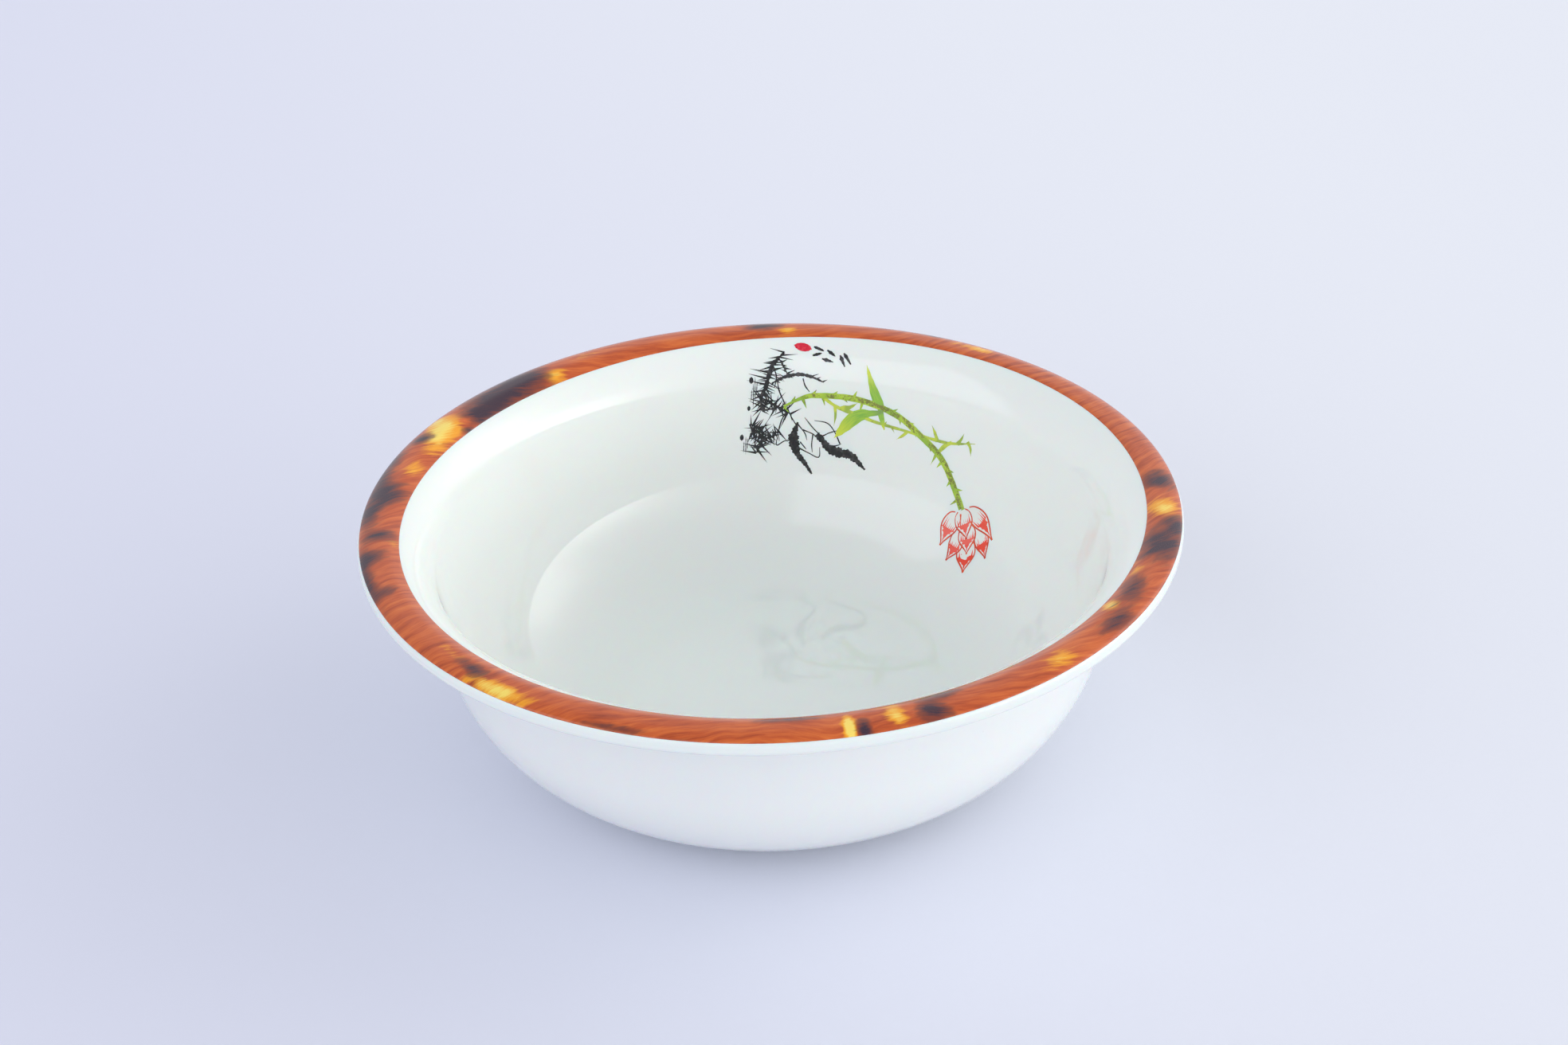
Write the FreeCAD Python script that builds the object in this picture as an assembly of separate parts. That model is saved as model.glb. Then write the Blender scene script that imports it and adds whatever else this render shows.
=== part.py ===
import FreeCAD, Part
import math
import os

# Rimmed soup bowl of pressed white opal glass with fired-on prints: a tortoiseshell band over the lip
# and an ink-and-lotus motif on the inner wall.
# Frame: origin on the axis in the plane the foot stands on, +Z up, the motif on the +Y side of the well.

# ---- driving dimensions, millimetres and degrees -------------------------------------------------
RIM_RADIUS = 101.5        # outermost edge of the lip
BOWL_HEIGHT = 66.0        # foot plane to the crest of the lip
WALL = 3.6                # glass thickness of the side wall
FLOOR = 4.0               # glass thickness of the floor
WALL_SLOPE = 11.0         # lean of the side wall away from upright

LIP_WIDTH = 13.1          # lip edge back to where the side wall meets the lip's underside
LIP_THICKNESS = 3.6       # height of the lip's upright edge before it is rounded
LIP_FALL = 1.1            # crest of the lip down to the top of that edge
LIP_UNDERCUT = 1.0        # rise of the lip's underside from the side wall out to the edge
LIP_TOP_ROUNDING = 1.9
LIP_BOTTOM_ROUNDING = 1.7
UNDERLIP_ROUNDING = 11.0
CREST_INSET = 2.9         # lip edge back to the start of the crest
CREST_WIDTH = 4.1
CREST_OUTER_ROUNDING = 8.0
CREST_INNER_ROUNDING = 6.0
SHOULDER_FALL = 3.5       # crest down to the shoulder, where the lip turns into the well
SHOULDER_ROUNDING = 15.5

FOOT_RADIUS = 43.0        # outer side of the foot ring
FOOT_WIDTH = 3.6
FOOT_HEIGHT = 2.0
FOOT_ROUNDING = 0.6
UNDERSIDE_HOLLOW = 1.4    # height of the underside inside the foot ring
FOOT_TO_CORNER = 1.4      # flat left between the foot ring and the rounded corner

PRINT_THICKNESS = 0.12    # fired enamel film
BAND_WIDTH = 9.1          # mean width of the tortoiseshell band
BAND_MARGIN = 0.5         # bare glass left outside the band
BAND_STRETCH = 0.95       # how far the hand-laid band's inner trim is out of round
BAND_SHIFT = 0.86         # how far that trim sits off the axis, along +X
BAND_TURN = 45.0          # direction of its long axis
OVAL_POINTS = 16
CRUMB = 0.01              # smallest separate patch of print kept, cubic millimetres
JOIN_TOLERANCE = 0.001    # slack for joining outlines that nearly meet
PRINT_LEVEL = 19.45       # distance down the glass at which the motif sheet is true to size

# ---- motif, on a flat sheet: millimetres round the wall from its middle, millimetres down the glass ----
STEM = [(5.1, 24.9), (11.1, 22.2), (15.6, 21.6), (26.1, 21.9), (37.6, 24.7), (45.6, 29.2), (53.0, 34.1),
        (58.8, 41.5), (62.6, 46.2)]
STEM_WIDTHS = [0.6, 1.6, 1.8, 1.8, 1.9, 2.0]
STEM_STATIONS = 16
THORN_COUNT = 17
THORN_LENGTH = 2.1
THORN_WIDTH = 1.0

TWIG = [(16.7, 22.4), (20.7, 24.8), (27.0, 26.5), (32.3, 27.9), (43.1, 29.0), (54.2, 29.2), (63.7, 26.8)]
TWIG_WIDTHS = [0.9, 1.0, 0.9, 0.8, 0.3]
TWIG_STATIONS = 12
TWIG_SPIKES = [((19.7, 24.4), (19.6, 30.2), 1.0), ((20.9, 24.8), (26.4, 23.1), 1.6),
               ((41.2, 29.1), (38.4, 31.8), 1.0), ((51.3, 29.5), (49.0, 25.4), 1.2),
               ((58.3, 28.2), (59.6, 25.0), 1.0), ((61.3, 27.2), (62.7, 30.7), 1.0),
               ((55.5, 28.7), (51.9, 33.0), 1.3), ((51.5, 33.1), (49.6, 36.9), 1.0)]

LEAVES = [([(33.6, 24.2), (31.4, 20.2), (28.0, 11.9)], [2.2, 3.0, 1.7, 0.2]),
          ([(32.9, 24.7), (26.0, 27.0), (19.6, 33.8)], [1.6, 3.3, 3.9, 0.4]),
          ([(33.0, 24.7), (34.5, 29.7)], [1.8, 1.5, 0.5])]

# Each petal: base, belly and tip of its middle line, greatest width.
PETALS = [((62.8, 46.6), (64.6, 49.4), (67.7, 53.2), 5.6),
          ((61.9, 48.4), (60.6, 52.6), (59.7, 57.6), 5.2),
          ((65.0, 46.0), (70.2, 47.5), (76.6, 50.2), 5.0),
          ((66.2, 50.4), (67.9, 53.2), (70.2, 57.0), 5.6),
          ((63.6, 53.4), (64.6, 56.4), (64.1, 60.8), 4.8),
          ((71.0, 49.6), (72.9, 52.4), (77.4, 55.6), 4.6),
          ((68.4, 54.0), (70.3, 57.5), (72.5, 62.0), 5.8)]
PETAL_SHAPE = [0.45, 0.9, 1.0, 0.72]   # width from base to shoulder, as shares of the greatest
PETAL_POINT = 0.1         # width at the tip
PETAL_TIP_SHARE = 0.45    # coloured part of a petal's length
TIP_WEDGE = 3             # the wedge that cuts out the coloured part, in lengths of that part
PETAL_LINE = 0.3          # width of the drawn outline

# Ink foliage: middle line, thickness, length of its needles.
BRUSHES = [([(4.3, 10.4), (1.9, 13.6), (0.1, 19.4), (-1.3, 22.1), (-1.2, 25.2)], 1.6, 2.4),
           ([(1.9, 18.2), (5.3, 16.5), (9.3, 15.7), (12.6, 16.2), (16.2, 17.4)], 1.2, 2.6),
           ([(0.0, 22.9), (3.3, 25.2), (6.9, 27.0)], 1.1, 2.2),
           ([(-4.6, 29.8), (-1.9, 31.8), (-1.4, 35.0), (-3.4, 38.4)], 1.2, 2.4),
           ([(-1.4, 34.1), (1.2, 34.0), (3.2, 32.4)], 0.8, 1.6)]
NEEDLE_SPACING = 1.25
NEEDLE_WIDTH = 0.42
NEEDLE_LEAN = 0.35        # lean of the needles towards the end of their line
NEEDLE_SCATTER = 0.3      # how much lean and length vary
NEEDLE_RHYTHM = 2.4       # how fast they vary from one needle to the next
BRUSH_STARTS = 0.6        # share of its thickness at which a brush line starts
BRUSH_ENDS = 0.5
INK_LINK = [(5.2, 26.8), (4.3, 29.1), (3.1, 33.1), (2.8, 36.1)]
INK_LINE = 0.5
LEG_TAPER = 0.7           # width at the end of an insect's leg, as a share of its start

# Two slim ink insects: body, widths along it, legs.
INSECTS = [([(9.2, 29.8), (7.8, 34.1), (8.4, 38.1), (10.9, 41.4), (13.1, 44.7)], [0.5, 2.0, 2.2, 1.4, 1.0, 0.4],
            [[(8.2, 34.8), (4.6, 35.0), (2.9, 36.4)], [(9.0, 37.1), (15.1, 39.8), (15.4, 36.8)],
             [(8.9, 30.8), (11.6, 33.6), (12.4, 35.1)]]),
           ([(14.6, 33.1), (17.0, 35.8), (20.0, 38.0), (24.2, 38.1), (29.3, 42.0)], [1.2, 1.7, 2.0, 2.0, 1.2, 0.3],
            [[(16.2, 33.8), (13.6, 31.4), (11.0, 28.2)], [(21.4, 35.1), (18.4, 30.2), (13.8, 29.0)],
             [(17.6, 35.8), (21.6, 35.6)]])]

INK_DOTS = [(-3.8, 17.1), (-4.9, 25.2), (-7.4, 33.6)]
INK_DOT_LENGTH = 2.1
INK_DOT_WIDTH = 1.2
INK_DOT_TURN = 100.0

SEAL_CENTRE = (10.3, 7.8)
SEAL_LENGTH = 5.0
SEAL_WIDTH = 2.6
SEAL_TURN = 15.0

BRUSH_MARKS = [((13.2, 7.6), (15.9, 8.8)), ((13.0, 10.3), (15.4, 9.5)), ((16.8, 8.5), (19.1, 10.2)),
               ((15.6, 11.1), (18.7, 11.9)), ((20.4, 9.8), (22.0, 13.0)), ((21.3, 9.1), (23.6, 12.2))]
BRUSH_MARK_WIDTH = 0.9
BRUSH_MARK_TAPER = 0.5
BRUSH_MARK_STATIONS = 3
STROKE_STATIONS = 8       # widths measured along an ordinary stroke

# ---- profile of the glass, as corners (radius, height, rounding) -----------------------------------
LIP_EDGE_TOP = BOWL_HEIGHT - LIP_FALL
LIP_EDGE_BOTTOM = LIP_EDGE_TOP - LIP_THICKNESS
UNDERLIP_HEIGHT = LIP_EDGE_BOTTOM - LIP_UNDERCUT
CREST_OUTER = RIM_RADIUS - CREST_INSET
CREST_INNER = CREST_OUTER - CREST_WIDTH
CREST_MIDDLE = (CREST_OUTER + CREST_INNER) / 2
SHOULDER_HEIGHT = BOWL_HEIGHT - SHOULDER_FALL
FLOOR_HEIGHT = FOOT_HEIGHT + FLOOR
LEAN = math.tan(math.radians(WALL_SLOPE))


def outer_wall(height):
    """Radius of the side wall's outside at a height."""
    return RIM_RADIUS - LIP_WIDTH - (UNDERLIP_HEIGHT - height) * LEAN


def inner_wall(height):
    """Radius of the side wall's inside at a height."""
    return outer_wall(height) - WALL / math.cos(math.radians(WALL_SLOPE))


def corner_rounding():
    """Radius of the body's big corner, which starts just outside the foot and ends on the side wall."""
    run = outer_wall(FOOT_HEIGHT) - FOOT_RADIUS - FOOT_TO_CORNER
    return run / math.tan(math.radians(90 - WALL_SLOPE) / 2)


def shoulder_rounding():
    """Radius of the shoulder, no more than the lip's slope has room for."""
    across = CREST_INNER - inner_wall(SHOULDER_HEIGHT)
    slope = math.atan2(SHOULDER_FALL, across)
    room = math.hypot(across, SHOULDER_FALL) - CREST_INNER_ROUNDING * math.tan(slope / 2)
    turn = math.radians(90 - WALL_SLOPE) - slope
    return min(SHOULDER_ROUNDING, room / math.tan(turn / 2))


WELL_SIDE = [
    (CREST_MIDDLE, BOWL_HEIGHT, 0),
    (CREST_INNER, BOWL_HEIGHT, CREST_INNER_ROUNDING),
    (inner_wall(SHOULDER_HEIGHT), SHOULDER_HEIGHT, shoulder_rounding()),
    (inner_wall(FLOOR_HEIGHT), FLOOR_HEIGHT, corner_rounding() - WALL),
    (0, FLOOR_HEIGHT, 0),
]
UNDER_SIDE = [
    (CREST_MIDDLE, BOWL_HEIGHT, 0),
    (CREST_OUTER, BOWL_HEIGHT, CREST_OUTER_ROUNDING),
    (RIM_RADIUS, LIP_EDGE_TOP, LIP_TOP_ROUNDING),
    (RIM_RADIUS, LIP_EDGE_BOTTOM, LIP_BOTTOM_ROUNDING),
    (outer_wall(UNDERLIP_HEIGHT), UNDERLIP_HEIGHT, UNDERLIP_ROUNDING),
    (outer_wall(FOOT_HEIGHT), FOOT_HEIGHT, corner_rounding()),
    (FOOT_RADIUS, FOOT_HEIGHT, FOOT_ROUNDING),
    (FOOT_RADIUS, 0, FOOT_ROUNDING),
    (FOOT_RADIUS - FOOT_WIDTH, 0, FOOT_ROUNDING),
    (FOOT_RADIUS - FOOT_WIDTH, UNDERSIDE_HOLLOW, FOOT_ROUNDING),
    (0, UNDERSIDE_HOLLOW, 0),
]
LIP_MIDDLE = (RIM_RADIUS, LIP_EDGE_TOP - LIP_THICKNESS / 2, 0)
PRINTED_SIDE = [LIP_MIDDLE, UNDER_SIDE[2], UNDER_SIDE[1]] + WELL_SIDE[1:]


def corner_frame(before, corner, after):
    """A corner's place, the directions back and ahead along its chain, and half its angle."""
    place = FreeCAD.Vector(corner[0], 0, corner[1])
    back = (FreeCAD.Vector(before[0], 0, before[1]) - place).normalize()
    ahead = (FreeCAD.Vector(after[0], 0, after[1]) - place).normalize()
    return place, back, ahead, back.getAngle(ahead) / 2


def rounded_path(corners):
    """Edges along a chain of corners, with an arc in place of each one."""
    edges = []
    start = FreeCAD.Vector(corners[0][0], 0, corners[0][1])
    for before, corner, after in zip(corners, corners[1:], corners[2:]):
        place, back, ahead, half = corner_frame(before, corner, after)
        reach = corner[2] / math.tan(half)
        inward = (back + ahead).normalize()
        first = place + back * reach
        middle = place + inward * (corner[2] / math.sin(half) - corner[2])
        last = place + ahead * reach
        if (first - start).Length > 1e-6:
            edges.append(Part.LineSegment(start, first).toShape())
        edges.append(Part.Arc(first, middle, last).toShape())
        start = last
    end = FreeCAD.Vector(corners[-1][0], 0, corners[-1][1])
    edges.append(Part.LineSegment(start, end).toShape())
    return edges


def lifted(corners, gap):
    """The printed side's chain of corners, moved off the glass by a gap."""
    moved = [(corners[0][0] + gap, corners[0][1], 0)]
    for before, corner, after in zip(corners, corners[1:], corners[2:]):
        place, back, ahead, half = corner_frame(before, corner, after)
        hollow = back.cross(ahead).y < 0
        side = 1 if hollow else -1
        place = place + (back + ahead).normalize() * (side * gap / math.sin(half))
        moved.append((place.x, place.z, corner[2] - side * gap))
    moved.append((corners[-1][0], corners[-1][1] + gap, 0))
    return moved


def turned(edges):
    """Solid of revolution about the bowl's axis."""
    wire = Part.Wire(Part.__sortEdges__(edges))
    return Part.Face(wire).revolve(FreeCAD.Vector(), FreeCAD.Vector(0, 0, 1), 360)


def end_line(path, other):
    """Straight edge from the end of one path to the end of another."""
    return Part.LineSegment(path[-1].lastVertex().Point, other[-1].lastVertex().Point).toShape()


def bowl_body():
    """The pressed glass body: well, side wall, flared lip and foot ring in one piece."""
    well = rounded_path(WELL_SIDE)
    under = rounded_path(UNDER_SIDE)
    return turned(well + under + [end_line(well, under)])


def print_blank():
    """An enamel film over the whole printed side, which each print is cut from."""
    glass_path = rounded_path(PRINTED_SIDE)
    film_path = rounded_path(lifted(PRINTED_SIDE, PRINT_THICKNESS))
    rim_end = Part.LineSegment(glass_path[0].firstVertex().Point, film_path[0].firstVertex().Point).toShape()
    return turned(glass_path + film_path + [rim_end, end_line(glass_path, film_path)])


# ---- laying the flat sheet on the wall --------------------------------------------------------------
WELL_PATH = rounded_path(WELL_SIDE)


def down_the_glass(distance):
    """Radius and height of the point this far along the glass from the lip's crest into the well."""
    for edge in WELL_PATH:
        if distance <= edge.Length:
            break
        distance = distance - edge.Length
    point = edge.valueAt(edge.getParameterByLength(distance))
    return point.x, point.z


PRINT_RADIUS = down_the_glass(PRINT_LEVEL)[0]


def on_wall(across, down):
    """Where a point of the sheet lies, seen square on to the motif from the front."""
    radius, height = down_the_glass(down)
    turn = across / PRINT_RADIUS
    return FreeCAD.Vector(radius * math.sin(turn), 0, height)


def smooth(points):
    """Smooth edge through points."""
    curve = Part.BSplineCurve()
    curve.interpolate(points)
    return curve.toShape()


def flat_face(edges):
    """Flat face inside a closed chain of edges."""
    return Part.Face(Part.Wire(Part.__sortEdges__(edges)))


def along(values, share):
    """Value at a share of the way along a list, straight between its entries."""
    place = share * (len(values) - 1)
    low = min(int(place), len(values) - 2)
    return values[low] + (values[low + 1] - values[low]) * (place - low)


def stroke_stations(spine, count):
    """Points and left-hand normals at even shares along a smooth line on the sheet."""
    line = smooth([FreeCAD.Vector(across, 0, down) for across, down in spine])
    stations = []
    for number in range(count + 1):
        parameter = line.getParameterByLength(line.Length * (number / count))
        ahead = line.tangentAt(parameter)
        stations.append((line.valueAt(parameter), FreeCAD.Vector(ahead.z, 0, -ahead.x)))
    return stations


def stroke(spine, widths, count=STROKE_STATIONS):
    """Face of a brush stroke along a smooth line, its width following a list."""
    left = []
    right = []
    for number, (place, normal) in enumerate(stroke_stations(spine, count)):
        half = along(widths, number / count) / 2
        left.append(on_wall(place.x + normal.x * half, place.z + normal.z * half))
        right.append(on_wall(place.x - normal.x * half, place.z - normal.z * half))
    start = Part.LineSegment(left[0], right[0]).toShape()
    end = Part.LineSegment(left[-1], right[-1]).toShape()
    return flat_face([smooth(left), end, smooth(right), start])


def spike(base, tip, width):
    """Face of a thin three-cornered spike."""
    run_across = tip[0] - base[0]
    run_down = tip[1] - base[1]
    half = width / 2 / math.hypot(run_across, run_down)
    corners = [on_wall(base[0] - run_down * half, base[1] + run_across * half),
               on_wall(base[0] + run_down * half, base[1] - run_across * half),
               on_wall(tip[0], tip[1])]
    return Part.Face(Part.makePolygon(corners + corners[:1]))


def oval(centre, length, width, turn):
    """Face of an oval, its long side turned clockwise from level."""
    ring = []
    for number in range(OVAL_POINTS):
        angle = 2 * math.pi * number / OVAL_POINTS
        long = math.cos(angle) * length / 2
        short = math.sin(angle) * width / 2
        lean = math.radians(turn)
        ring.append(on_wall(centre[0] + long * math.cos(lean) - short * math.sin(lean),
                            centre[1] + long * math.sin(lean) + short * math.cos(lean)))
    curve = Part.BSplineCurve()
    curve.interpolate(ring, PeriodicFlag=True)
    return Part.Face(Part.Wire([curve.toShape()]))


def joined(shapes):
    """Overlapping shapes of one ink as one shape."""
    if len(shapes) == 1:
        return shapes[0]
    return shapes[0].multiFuse(shapes[1:]).removeSplitter()


def thorns():
    """Thorns on alternate sides of the stem."""
    faces = []
    stations = stroke_stations(STEM, THORN_COUNT + 1)
    for number, (place, normal) in enumerate(stations[1:-1]):
        side = 1 if number % 2 else -1
        tip = (place.x + normal.x * side * THORN_LENGTH, place.z + normal.z * side * THORN_LENGTH)
        faces.append(spike((place.x, place.z), tip, THORN_WIDTH))
    return faces


def needles(spine, length):
    """Ink needles on both sides of a foliage line, leaning towards its end."""
    faces = []
    whole = sum(math.dist(here, there) for here, there in zip(spine, spine[1:]))
    stations = stroke_stations(spine, max(2, round(whole / NEEDLE_SPACING)))
    for number, (place, normal) in enumerate(stations):
        ahead = FreeCAD.Vector(-normal.z, 0, normal.x)
        for side in (1, -1):
            lean = NEEDLE_LEAN + NEEDLE_SCATTER * math.sin(NEEDLE_RHYTHM * number + side)
            reach = length / 2 * (1 + NEEDLE_SCATTER * math.cos(NEEDLE_RHYTHM * number))
            tip = place + (normal * side + ahead * lean) * reach
            faces.append(spike((place.x, place.z), (tip.x, tip.z), NEEDLE_WIDTH))
    return faces


def petal(shape, inset=0.0):
    """Face of one petal, drawn in from its outline by an inset."""
    base, belly, tip, width = shape
    wide = width - 2 * inset
    return stroke([base, belly, tip], [wide * share for share in PETAL_SHAPE] + [PETAL_POINT])


def petal_tip(shape):
    """Face of the coloured end of one petal, inside its outline."""
    base, belly, tip, width = shape
    reach = math.dist(belly, tip) * 2 * PETAL_TIP_SHARE / math.dist(base, tip)
    start = (tip[0] + (base[0] - tip[0]) * reach, tip[1] + (base[1] - tip[1]) * reach)
    far = (start[0] + TIP_WEDGE * (tip[0] - start[0]), start[1] + TIP_WEDGE * (tip[1] - start[1]))
    return petal(shape, PETAL_LINE).common(spike(start, far, TIP_WEDGE * width))


def foliage():
    """All the ink foliage with its joining line."""
    faces = [stroke(INK_LINK, [INK_LINE, INK_LINE])]
    for spine, thickness, needle in BRUSHES:
        faces.append(stroke(spine, [thickness * BRUSH_STARTS, thickness, thickness, thickness * BRUSH_ENDS]))
        faces.extend(needles(spine, needle))
    return joined(faces)


def insects():
    """Both ink insects."""
    faces = []
    for body, widths, legs in INSECTS:
        faces.append(stroke(body, widths))
        faces.extend(stroke(leg, [INK_LINE, INK_LINE * LEG_TAPER]) for leg in legs)
    return joined(faces)


def petals():
    """Outlines, coloured tips and pale fill of the bud, front petals over the ones behind."""
    lines = []
    tips = []
    fills = []
    covered = None
    for shape in PETALS:
        whole = petal(shape)
        inner = petal(shape, PETAL_LINE)
        tip = petal_tip(shape)
        layers = [whole.cut(inner), tip, inner.cut(tip)]
        if covered:
            layers = [layer.cut(covered) for layer in layers]
        covered = covered.fuse(whole) if covered else whole
        lines.append(layers[0])
        tips.append(layers[1])
        fills.append(layers[2])
    return joined(lines), joined(tips), joined(fills), covered


def film(face, blank):
    """Enamel film with a flat shape's outline, laid on the wall of the well, without stray crumbs."""
    blocks = [one.extrude(FreeCAD.Vector(0, CREST_MIDDLE, 0)) for one in face.Faces]
    laid = blank.common([joined(blocks)], JOIN_TOLERANCE)
    return Part.makeCompound([solid for solid in laid.Solids if solid.Volume > CRUMB])


def rim_band(blank):
    """Tortoiseshell band over the lip, its inner trim slightly out of round and off the axis."""
    mean = RIM_RADIUS - BAND_MARGIN - BAND_WIDTH
    trim = Part.Ellipse(FreeCAD.Vector(), mean + BAND_STRETCH, mean - BAND_STRETCH).toShape()
    trim.rotate(FreeCAD.Vector(), FreeCAD.Vector(0, 0, 1), BAND_TURN)
    trim.translate(FreeCAD.Vector(BAND_SHIFT, 0, 0))
    inside = Part.Face(Part.Wire([trim])).extrude(FreeCAD.Vector(0, 0, 2 * BOWL_HEIGHT))
    outside = Part.makeCylinder(RIM_RADIUS - BAND_MARGIN, 2 * BOWL_HEIGHT)
    return blank.common(outside).cut(inside)


def printed_shapes():
    """Flat shape of each ink in the order they overlap, the first on top."""
    lines, tips, fills, bud = petals()
    mark_widths = [BRUSH_MARK_WIDTH, BRUSH_MARK_WIDTH * BRUSH_MARK_TAPER]
    marks = [stroke(list(mark), mark_widths, BRUSH_MARK_STATIONS) for mark in BRUSH_MARKS]
    dots = [oval(dot, INK_DOT_LENGTH, INK_DOT_WIDTH, INK_DOT_TURN) for dot in INK_DOTS]
    twig_spikes = [spike(*one) for one in TWIG_SPIKES]
    return [
        ("petal_outline_print", lines),
        ("petal_tip_print", tips),
        ("petal_fill_print", fills),
        ("leaf_print", joined([stroke(spine, widths) for spine, widths in LEAVES]).cut(bud)),
        ("stem_print", joined([stroke(STEM, STEM_WIDTHS, STEM_STATIONS)] + thorns()).cut(bud)),
        ("twig_print", joined([stroke(TWIG, TWIG_WIDTHS, TWIG_STATIONS)] + twig_spikes)),
        ("ink_insect_print", insects()),
        ("ink_foliage_print", foliage()),
        ("ink_dot_print", joined(dots)),
        ("seal_print", oval(SEAL_CENTRE, SEAL_LENGTH, SEAL_WIDTH, SEAL_TURN)),
        ("brush_mark_print", joined(marks)),
    ]


def build():
    """Make each piece and write it to its own file."""
    os.makedirs("parts", exist_ok=True)
    blank = print_blank()
    pieces = {"bowl_body": bowl_body(), "rim_band": rim_band(blank)}
    above = None
    for name, shape in printed_shapes():
        clear = shape.cut(above) if above else shape
        above = above.fuse(shape) if above else shape
        pieces[name] = film(clear, blank)
    for name, piece in pieces.items():
        piece.exportStep("parts/" + name + ".step")
        box = piece.BoundBox
        print(name, "solids", len(piece.Solids), "valid", piece.isValid(), "volume", round(piece.Volume, 3),
              "box", [round(value, 2) for value in (box.XMin, box.YMin, box.ZMin, box.XMax, box.YMax, box.ZMax)])


build()
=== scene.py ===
# %% [markdown]
# # A rimmed soup bowl of white opal glass
#
# The bowl is one piece of pressed glass. Its lip carries a tortoiseshell band and its wall a painted-looking
# print: a thorny stem with a hanging lotus bud, and black ink foliage with two slim insects.
# Every print is a ceramic transfer: flat when it is printed, then laid on the glass and fired.
#
# The design comes packed from CAD as a fixed frame. This lesson loads it, then makes each piece again in
# finer mesh, in the same place and at the same size, and gives it its finish.

# %% Load the frame
import math
import bmesh
import bpy
import numpy as np
from mathutils import Matrix, Vector


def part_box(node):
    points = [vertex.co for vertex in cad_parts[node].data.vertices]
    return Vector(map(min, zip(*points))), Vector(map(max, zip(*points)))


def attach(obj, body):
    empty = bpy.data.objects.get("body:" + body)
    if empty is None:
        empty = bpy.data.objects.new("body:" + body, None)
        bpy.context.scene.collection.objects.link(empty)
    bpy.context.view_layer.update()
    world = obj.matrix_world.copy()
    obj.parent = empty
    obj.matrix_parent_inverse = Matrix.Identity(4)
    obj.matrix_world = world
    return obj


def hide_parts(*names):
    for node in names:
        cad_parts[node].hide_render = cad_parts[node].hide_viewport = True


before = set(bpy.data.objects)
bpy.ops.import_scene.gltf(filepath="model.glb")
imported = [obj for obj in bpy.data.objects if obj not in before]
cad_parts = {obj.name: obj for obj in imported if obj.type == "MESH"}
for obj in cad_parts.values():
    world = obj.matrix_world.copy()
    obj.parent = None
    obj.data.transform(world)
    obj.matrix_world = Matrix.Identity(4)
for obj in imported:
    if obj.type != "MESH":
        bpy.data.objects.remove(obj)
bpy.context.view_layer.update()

# %% [markdown]
# ## Sizes
#
# A pressed bowl is a body of revolution, so its whole shape is one line: the profile of the glass from the
# crest of the lip, down the well to the middle of the floor, and from the crest round the lip's edge, down the
# outside and over the foot ring. A toolmaker draws that line as straight runs with rounded corners, so it is
# kept the same way here: a list of corners, each with its radius, height and rounding.
# The overall size is read from the frame. The other sizes are the design's own, in metres.

# %% Sizes of the glass
MM = 0.001
low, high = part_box("bowl_body")
RIM_RADIUS = round(high.x, 5)
BOWL_HEIGHT = round(high.z, 5)
WALL = 3.6 * MM
FLOOR_HEIGHT = 6.0 * MM
WALL_SLOPE = math.radians(11.0)
LIP_EDGE_TOP = BOWL_HEIGHT - 1.1 * MM
LIP_EDGE_BOTTOM = LIP_EDGE_TOP - 3.6 * MM
UNDERLIP_HEIGHT = LIP_EDGE_BOTTOM - 1.0 * MM
WALL_TOP_RADIUS = RIM_RADIUS - 13.1 * MM
CREST_OUTER = RIM_RADIUS - 2.9 * MM
CREST_INNER = CREST_OUTER - 4.1 * MM
SHOULDER_HEIGHT = BOWL_HEIGHT - 3.5 * MM
FOOT_RADIUS = 43.0 * MM
FOOT_INNER = FOOT_RADIUS - 3.6 * MM
FOOT_HEIGHT = 2.0 * MM
HOLLOW_HEIGHT = 1.4 * MM
FOOT_TO_CORNER = 1.4 * MM
CREST_INNER_ROUNDING = 6.0 * MM
CREST_OUTER_ROUNDING = 8.0 * MM
SHOULDER_ROUNDING = 15.5 * MM
LIP_TOP_ROUNDING = 1.9 * MM
LIP_BOTTOM_ROUNDING = 1.7 * MM
UNDERLIP_ROUNDING = 11.0 * MM
FOOT_ROUNDING = 0.6 * MM


def outer_wall(height):
    """Radius of the side wall's outside at a height."""
    return WALL_TOP_RADIUS - (UNDERLIP_HEIGHT - height) * math.tan(WALL_SLOPE)


def inner_wall(height):
    """Radius of the side wall's inside at a height."""
    return outer_wall(height) - WALL / math.cos(WALL_SLOPE)


BIG_ROUNDING = (outer_wall(FOOT_HEIGHT) - FOOT_RADIUS - FOOT_TO_CORNER) / math.tan((math.pi / 2 - WALL_SLOPE) / 2)
print("rim", RIM_RADIUS, "height", BOWL_HEIGHT, "body corner", round(BIG_ROUNDING, 5))

# %% [markdown]
# Rounded corners are what a mould needs: glass doesn't fill a sharp one. Each corner becomes an arc that touches
# both its runs, and long runs are cut up so that the mesh's faces stay even.

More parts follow.
